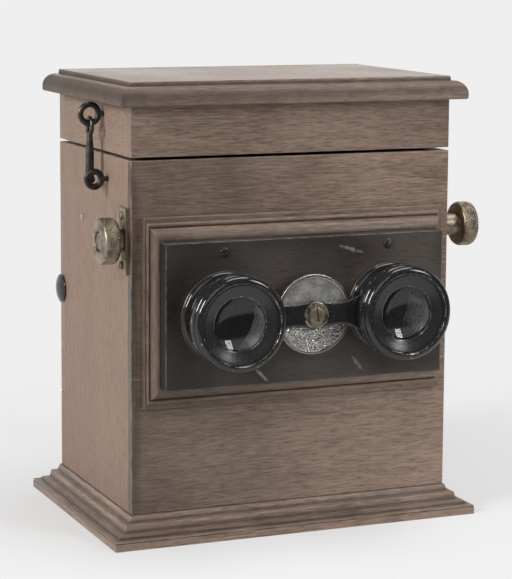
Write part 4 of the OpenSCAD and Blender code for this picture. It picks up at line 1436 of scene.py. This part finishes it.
@dataclass
class Wheel(Assembly):
    """Focusing wheel with a milled rim and a face that is pebbled below, with painted shade on the rim and
    on the lower half, deeper towards the lower right.
    """

    teeth: int = 120
    groove: float = 0.18
    hole_r: float = 2.06
    sunk: float = 0.3
    rim_in: float = 1.5
    rings: int = 12
    pebble_least: float = 0.13
    pebble_fade: float = 6.0
    # Strengths of the painted shade on the rim, on the lower half and towards the lower right.
    rim_shade: float = 0.75
    low_dim: float = 0.7
    right_dim: float = 0.22

    def build(self) -> None:
        """Builds the wheel: its radius falls by groove * (1 - cos(teeth * t)) / 2, and its face is sunk."""
        box = Box.of("focus_wheel")
        r, tall = box.size[0] / 2, box.size[1]
        face, hole = tall - self.sunk, self.hole_r
        corners = [(hole, 0, 0), (r - 0.35, 0, 0.2), (r, 0.4, 0.25), (r, tall - 0.4, 0.25),
                   (r - 0.35, tall, 0.2), (r - 1.2, tall, 0.15), (r - self.rim_in, face, 0.15)]
        rings = [(x, face, 0) for x in (*np.linspace(r - 2.2, hole + 0.04, self.rings), hole)]
        profile = filleted(corners + rings)

        def mill(radius: Array, height: Array, t: Array) -> tuple[Array, Array]:
            """Cuts the rim's grooves."""
            depth = self.groove * (0.5 - 0.5 * np.cos(self.teeth * t))
            return radius - depth * np.clip((radius - r + 0.3) / 0.25, 0, 1), height

        grid = turned(profile, (box.middle[0], box.high[1], box.middle[2]), Axis.FRONT, 8 * self.teeth, mill)
        across, up = grid[..., 0] - box.middle[0], grid[..., 2] - box.middle[2]
        on_face = (profile[:, :1] < r - self.rim_in) & (profile[:, 1:] > tall / 2)
        low_half = np.clip(0.5 - up / self.pebble_fade, self.pebble_least, 1.0)
        below = low_half > 0.5
        right = np.clip((across + 3.0) / 14.0, 0.0, 1.0) * below
        # Painted shade on the rim and the lower half, deeper towards the lower right.
        rim = self.rim_shade * (profile[:, :1] > r - 1.6)
        dim = np.maximum(rim, self.low_dim * below + self.right_dim * right)
        wheel = skin("focus_wheel_milled", [grid], marks={"pebbled": [on_face * low_half], "dim": [dim]})
        self.settle(wheel, "wheel", "nickel", "focus_wheel", Palette.nickel)


@dataclass
class Knobs(Assembly):
    """Focusing shaft with its pinions and the two knurled knobs."""

    lines: int = 46
    groove: float = 0.42
    slant: float = 0.85
    thick: float = 6.9
    bore: float = 1.83
    hub_r: float = 4.25
    round_high: float = 1.6
    recess: float = 1.2
    screw: Screw = Screw(3.3, 1.0, 0.8)
    screw_deep: float = 6.0
    screw_turns: tuple[float, float] = (1.1, 0.5)

    def build(self) -> None:
        """Builds both knobs and their screws."""
        for node, axis in (("knob_left", Axis.LEFT), ("knob_right", Axis.RIGHT)):
            self.settle(self.knob(node, axis), "shaft", "brass", node, Palette.knob_brass)
        self.settle(self.screws(), "shaft", "steel", "knob_screws", Palette.knob_brass)

    def knob(self, node: str, axis: Axis) -> bpy.types.Object:
        """Knob: a hub and a round-edged rim cut by two sets of crossing grooves.

        A cut is as deep as groove times one less the smaller of two triangle waves, in n t + k h and
        in n t - k h.

        Args:
            node: the solid node.
            axis: the way that the knob's face looks.

        Returns:
            The piece.
        """
        box = Box.of(node)
        long, crown = box.size[0], box.size[2] / 2
        back = long - self.thick
        low, high = back + self.round_high, long - self.round_high
        bottom = long - self.recess
        hub = filleted([(self.bore, 0, 0), (self.hub_r, 0, 0.25), (self.hub_r, back + 0.5, 0.5),
                        (5.2, back + 0.55, 0.3), (5.9, back, 0.3), (crown - 0.75, back + 0.45, 1.0),
                        (crown, low, 0)], False)
        band = points(crown, np.linspace(low, high, 48))
        face = filleted([(crown, high, 0), (crown - 0.55, long - 0.45, 1.0), (6.7, long, 0.6),
                         (3.9, long, 0.3), (3.7, bottom, 0.1), (self.bore, bottom, 0)], False)
        profile = np.concatenate([hub, band[1:], face[1:]])

        def knurl(radius: Array, height: Array, t: Array) -> tuple[Array, Array]:
            """Cuts the crossing grooves, which fade out at the rim's ends.

            Args:
                radius: the radius grid.
                height: the height grid.
                t: the angle grid.

            Returns:
                The cut radius and the same height.
            """
            ends = np.clip((height - back - 0.9) / 0.6, 0, 1) * np.clip((long - 0.9 - height) / 0.6, 0, 1)
            turns, slope = self.lines * t / TURN, self.slant * (height - back)
            waves = [np.abs(2 * ((turns + k * slope) % 1) - 1) for k in (-1, 1)]
            return radius - self.groove * ends * (radius > crown - 0.6) * (1 - np.minimum(*waves)), height

        base = box.high[0] if axis is Axis.LEFT else box.low[0]
        grid = turned(profile, (base, *box.middle[1:]), axis, 12 * self.lines, knurl)
        return skin(node + "_knurled", [grid], sharp=50)

    def screws(self) -> bpy.types.Object:
        """The two slotted screws in the knobs' faces.

        Returns:
            The piece.
        """
        box = Box.of("knob_screws")
        seats = (Box.of("knob_left").low[0] + self.recess, Box.of("knob_right").high[0] - self.recess)
        tall = box.high[0] - seats[1]
        grids = [self.screw.grid((seat, *box.middle[1:]), axis, tall, self.screw_deep, turn)
                 for seat, axis, turn in zip(seats, (Axis.LEFT, Axis.RIGHT), self.screw_turns)]
        return skin("knob_screw_heads", grids, OPEN_ENDS)

    def dress(self) -> None:
        """Gives the shaft and the pinions their finishes."""
        self.paint(Palette.steel, "focus_shaft")
        self.paint(Palette.brass, "pinions")


@dataclass
class Door(Assembly):
    """Rear door with its ground glass, beads, pull button and hinge leaves."""

    button_high: float = 1.8
    button_edge: float = 0.3
    stem_r: float = 1.2
    stem_long: float = 5.9

    def build(self) -> None:
        """Builds the pull button: a dome of height cos(a)^1.6 at radius sin(a), on its stem."""
        box = Box.of("door_button")
        r, edge = box.size[2] / 2, self.button_edge
        a = np.linspace(0, QUARTER, 24)
        dome = points(r * np.sin(a), edge + (self.button_high - edge) * np.cos(a) ** 1.6)
        under = filleted([(r, edge, 0), (r - 0.3, 0, 0.1), (self.stem_r, 0, 0),
                          (self.stem_r, -self.stem_long, 0), (0, -self.stem_long, 0)], False)
        profile = np.concatenate([dome, under[1:]])
        grid = turned(profile, (box.low[0] + self.button_high, *box.middle[1:]), Axis.LEFT, 96)
        button = skin("pull_button", [grid], OPEN_ENDS, marks={"worn": [0.0]})
        self.settle(button, "door", "black_lacquer", "door_button", Palette.lacquer)

    def dress(self) -> None:
        """Gives the door's other pieces their finishes."""
        self.paint(Palette.case, "door_frame", "glass_beads", run=Run.ACROSS)
        self.paint(Palette.frosted, "ground_glass")
        self.paint(Palette.brass, "door_hinge_door_leaves", "door_hinge_screws")


# Studio


@dataclass(frozen=True)
class Camera:
    """Camera at the photograph's place: angles in degrees, offsets in pixels."""

    place: tuple[float, float, float] = (-320.6, -767.2, 221.5)
    swing: float = 22.83
    fall: float = 7.66
    roll: float = 0.373
    focal_px: float = 2121.2
    drop_px: float = 60.0
    tall_px: int = 579
    sensor: float = 36.0

    def build(self) -> None:
        """Makes the camera and sets it as the scene's own."""
        a, e, k = (math.radians(v) for v in (self.swing, self.fall, self.roll))
        ahead = np.array([math.sin(a) * math.cos(e), math.cos(a) * math.cos(e), -math.sin(e)])
        right = np.array([math.cos(a), -math.sin(a), 0.0])
        up = np.cross(right, ahead)
        cos, sin = math.cos(k), math.sin(k)
        axes = np.stack([cos * right + sin * up, cos * up - sin * right, -ahead])
        data = bpy.data.cameras.new("view")
        data.sensor_width, data.sensor_height = self.sensor, self.sensor
        data.lens = self.focal_px * self.sensor / self.tall_px
        data.shift_y = -self.drop_px / self.tall_px
        data.clip_start, data.clip_end = 0.01, 100.0
        camera = linked("view", data)
        turn = Matrix(axes.T.tolist()).to_4x4()
        camera.matrix_world = Matrix.Translation([v * MM for v in self.place]) @ turn
        bpy.context.scene.camera = camera


@dataclass(frozen=True)
class Lamp:
    """Soft lamp with a wide and tall pane, aimed at a point. Lengths are metres."""

    name: str
    place: tuple[float, float, float]
    wide: float
    tall: float
    watts: float
    aim: tuple[float, float, float] = (0.0, 0.0, 0.09)

    def build(self) -> None:
        """Adds the lamp."""
        data = bpy.data.lights.new(self.name, "AREA")
        data.shape, data.size, data.size_y, data.energy = "RECTANGLE", self.wide, self.tall, self.watts
        back = np.array(self.place) - np.array(self.aim)
        back /= np.linalg.norm(back)
        side = np.cross([0, 0, 1], back)
        side /= np.linalg.norm(side)
        turn = Matrix(np.stack([side, np.cross(back, side), back], -1).tolist()).to_4x4()
        linked(self.name, data).matrix_world = Matrix.Translation(self.place) @ turn


@dataclass(frozen=True)
class Studio:
    """Plain pale floor, soft lamps and a pale surround.

    Paper, room and fill are levels of light. The floor turns to paper between the two distances of shadow,
    and mirrors as a room in front of the two Y of front, all in metres.
    """

    paper: float = 0.86
    room: float = 0.12
    fill: float = 0.27
    floor_rings: tuple[float, ...] = (0.0, 200.0, 600.0, 2000.0, 12000.0)
    floor_drop: float = 0.02
    floor_tone: float = 0.72
    shadow: tuple[float, float] = (0.10, 0.34)
    front: tuple[float, float] = (-0.29, -0.23)
    lamps: tuple[Lamp, ...] = (
        Lamp("window_left", (-1.36, -0.4, 0.76), 0.24, 0.6, 20.0),
        Lamp("top", (0.35, -0.1, 1.65), 0.9, 0.9, 14.0),
        Lamp("front_fill", (-0.6, -1.7, 1.2), 1.2, 1.2, 6.8),
        Lamp("front_right", (0.95, -1.15, 0.75), 0.36, 0.5, 7.5))

    def build(self) -> None:
        """Makes the world, the floor and the lamps."""
        self.surround()
        self.floor()
        for lamp in self.lamps:
            lamp.build()

    def surround(self) -> None:
        """Pale backdrop for what looks at it, a dim room in front for gloss and a soft fill for the rest."""
        world = bpy.data.worlds.new("surround")
        bpy.context.scene.world = world
        world.use_nodes = True
        g = Graph.of_world(world)
        path = g.add("LightPath").outputs
        way = g.add("TexCoord").outputs["Generated"]
        behind, low = g.fade(g.axis(way, "Y"), -0.1, 0.12), g.fade(g.axis(way, "Z"), 0.38, 0.5, 1.0, 0.0)
        backdrop = g.times(behind, low)
        shown = g.fade(backdrop, 0.0, 1.0, self.room, self.paper)
        mirrored = g.most(path["Is Glossy Ray"], path["Is Transmission Ray"])
        level = g.blend(mirrored, (self.fill,) * 3, shown)
        level = g.blend(path["Is Camera Ray"], level, (self.paper,) * 3)
        g.feed(world.node_tree.nodes["Background"].inputs["Color"], level)

    def floor(self) -> None:
        """Round floor: it takes the shadow near the part, is plain paper far off and mirrors a dim room."""
        t = angles(96)
        r = np.array(self.floor_rings)[:, None]
        grid = points(r * np.cos(t), r * np.sin(t), -self.floor_drop)
        mesh = bpy.data.meshes.new("floor")
        mesh.from_pydata((grid.reshape(-1, 3) * MM).tolist(), [], quads(grid, OPEN_ENDS).tolist())
        floor = linked("floor", mesh)
        g = Graph("paper")
        place = g.place()
        far = g.add("VectorMath", {0: place}, operation="LENGTH").outputs["Value"]
        g.dress(Base_Color=(self.floor_tone,) * 3, Roughness=0.9)
        path = g.add("LightPath").outputs
        mirrored = g.most(path["Is Glossy Ray"], path["Is Transmission Ray"])
        seen = g.most(path["Is Camera Ray"], mirrored)
        edge = g.times(g.fade(g.axis(place, "Y"), *self.front, 1.0, 0.0), mirrored)
        share = g.most(g.times(g.fade(far, *self.shadow, 0.45, 1.0), seen), edge)
        level = g.fade(edge, 0, 1, self.paper, self.room)
        glow = g.add("Emission", {"Color": (1.0, 1.0, 1.0), "Strength": level})
        mix = g.add("MixShader", {0: share, 1: g.shader.outputs[0], 2: glow.outputs[0]})
        g.feed(g.tree.nodes["Material Output"].inputs["Surface"], mix.outputs[0])
        mesh.materials.append(g.material)


def main() -> None:
    """Makes the camera, loads the solids, builds and dresses every sub-assembly, and builds the studio."""
    logging.basicConfig(level=logging.INFO, format="%(name)s: %(message)s")
    Camera().build()
    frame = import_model()
    bpy.context.scene.view_settings.view_transform = "Standard"
    palette = Palette()
    for kind in (Case, Lid, HookAndEyes, Carriage, Eyepieces, Wheel, Knobs, Door):
        part = kind(frame, palette)
        part.build()
        part.dress()
        LOG.info("%s done", kind.__name__)
    Studio().build()


if __name__ == "__main__":
    main()
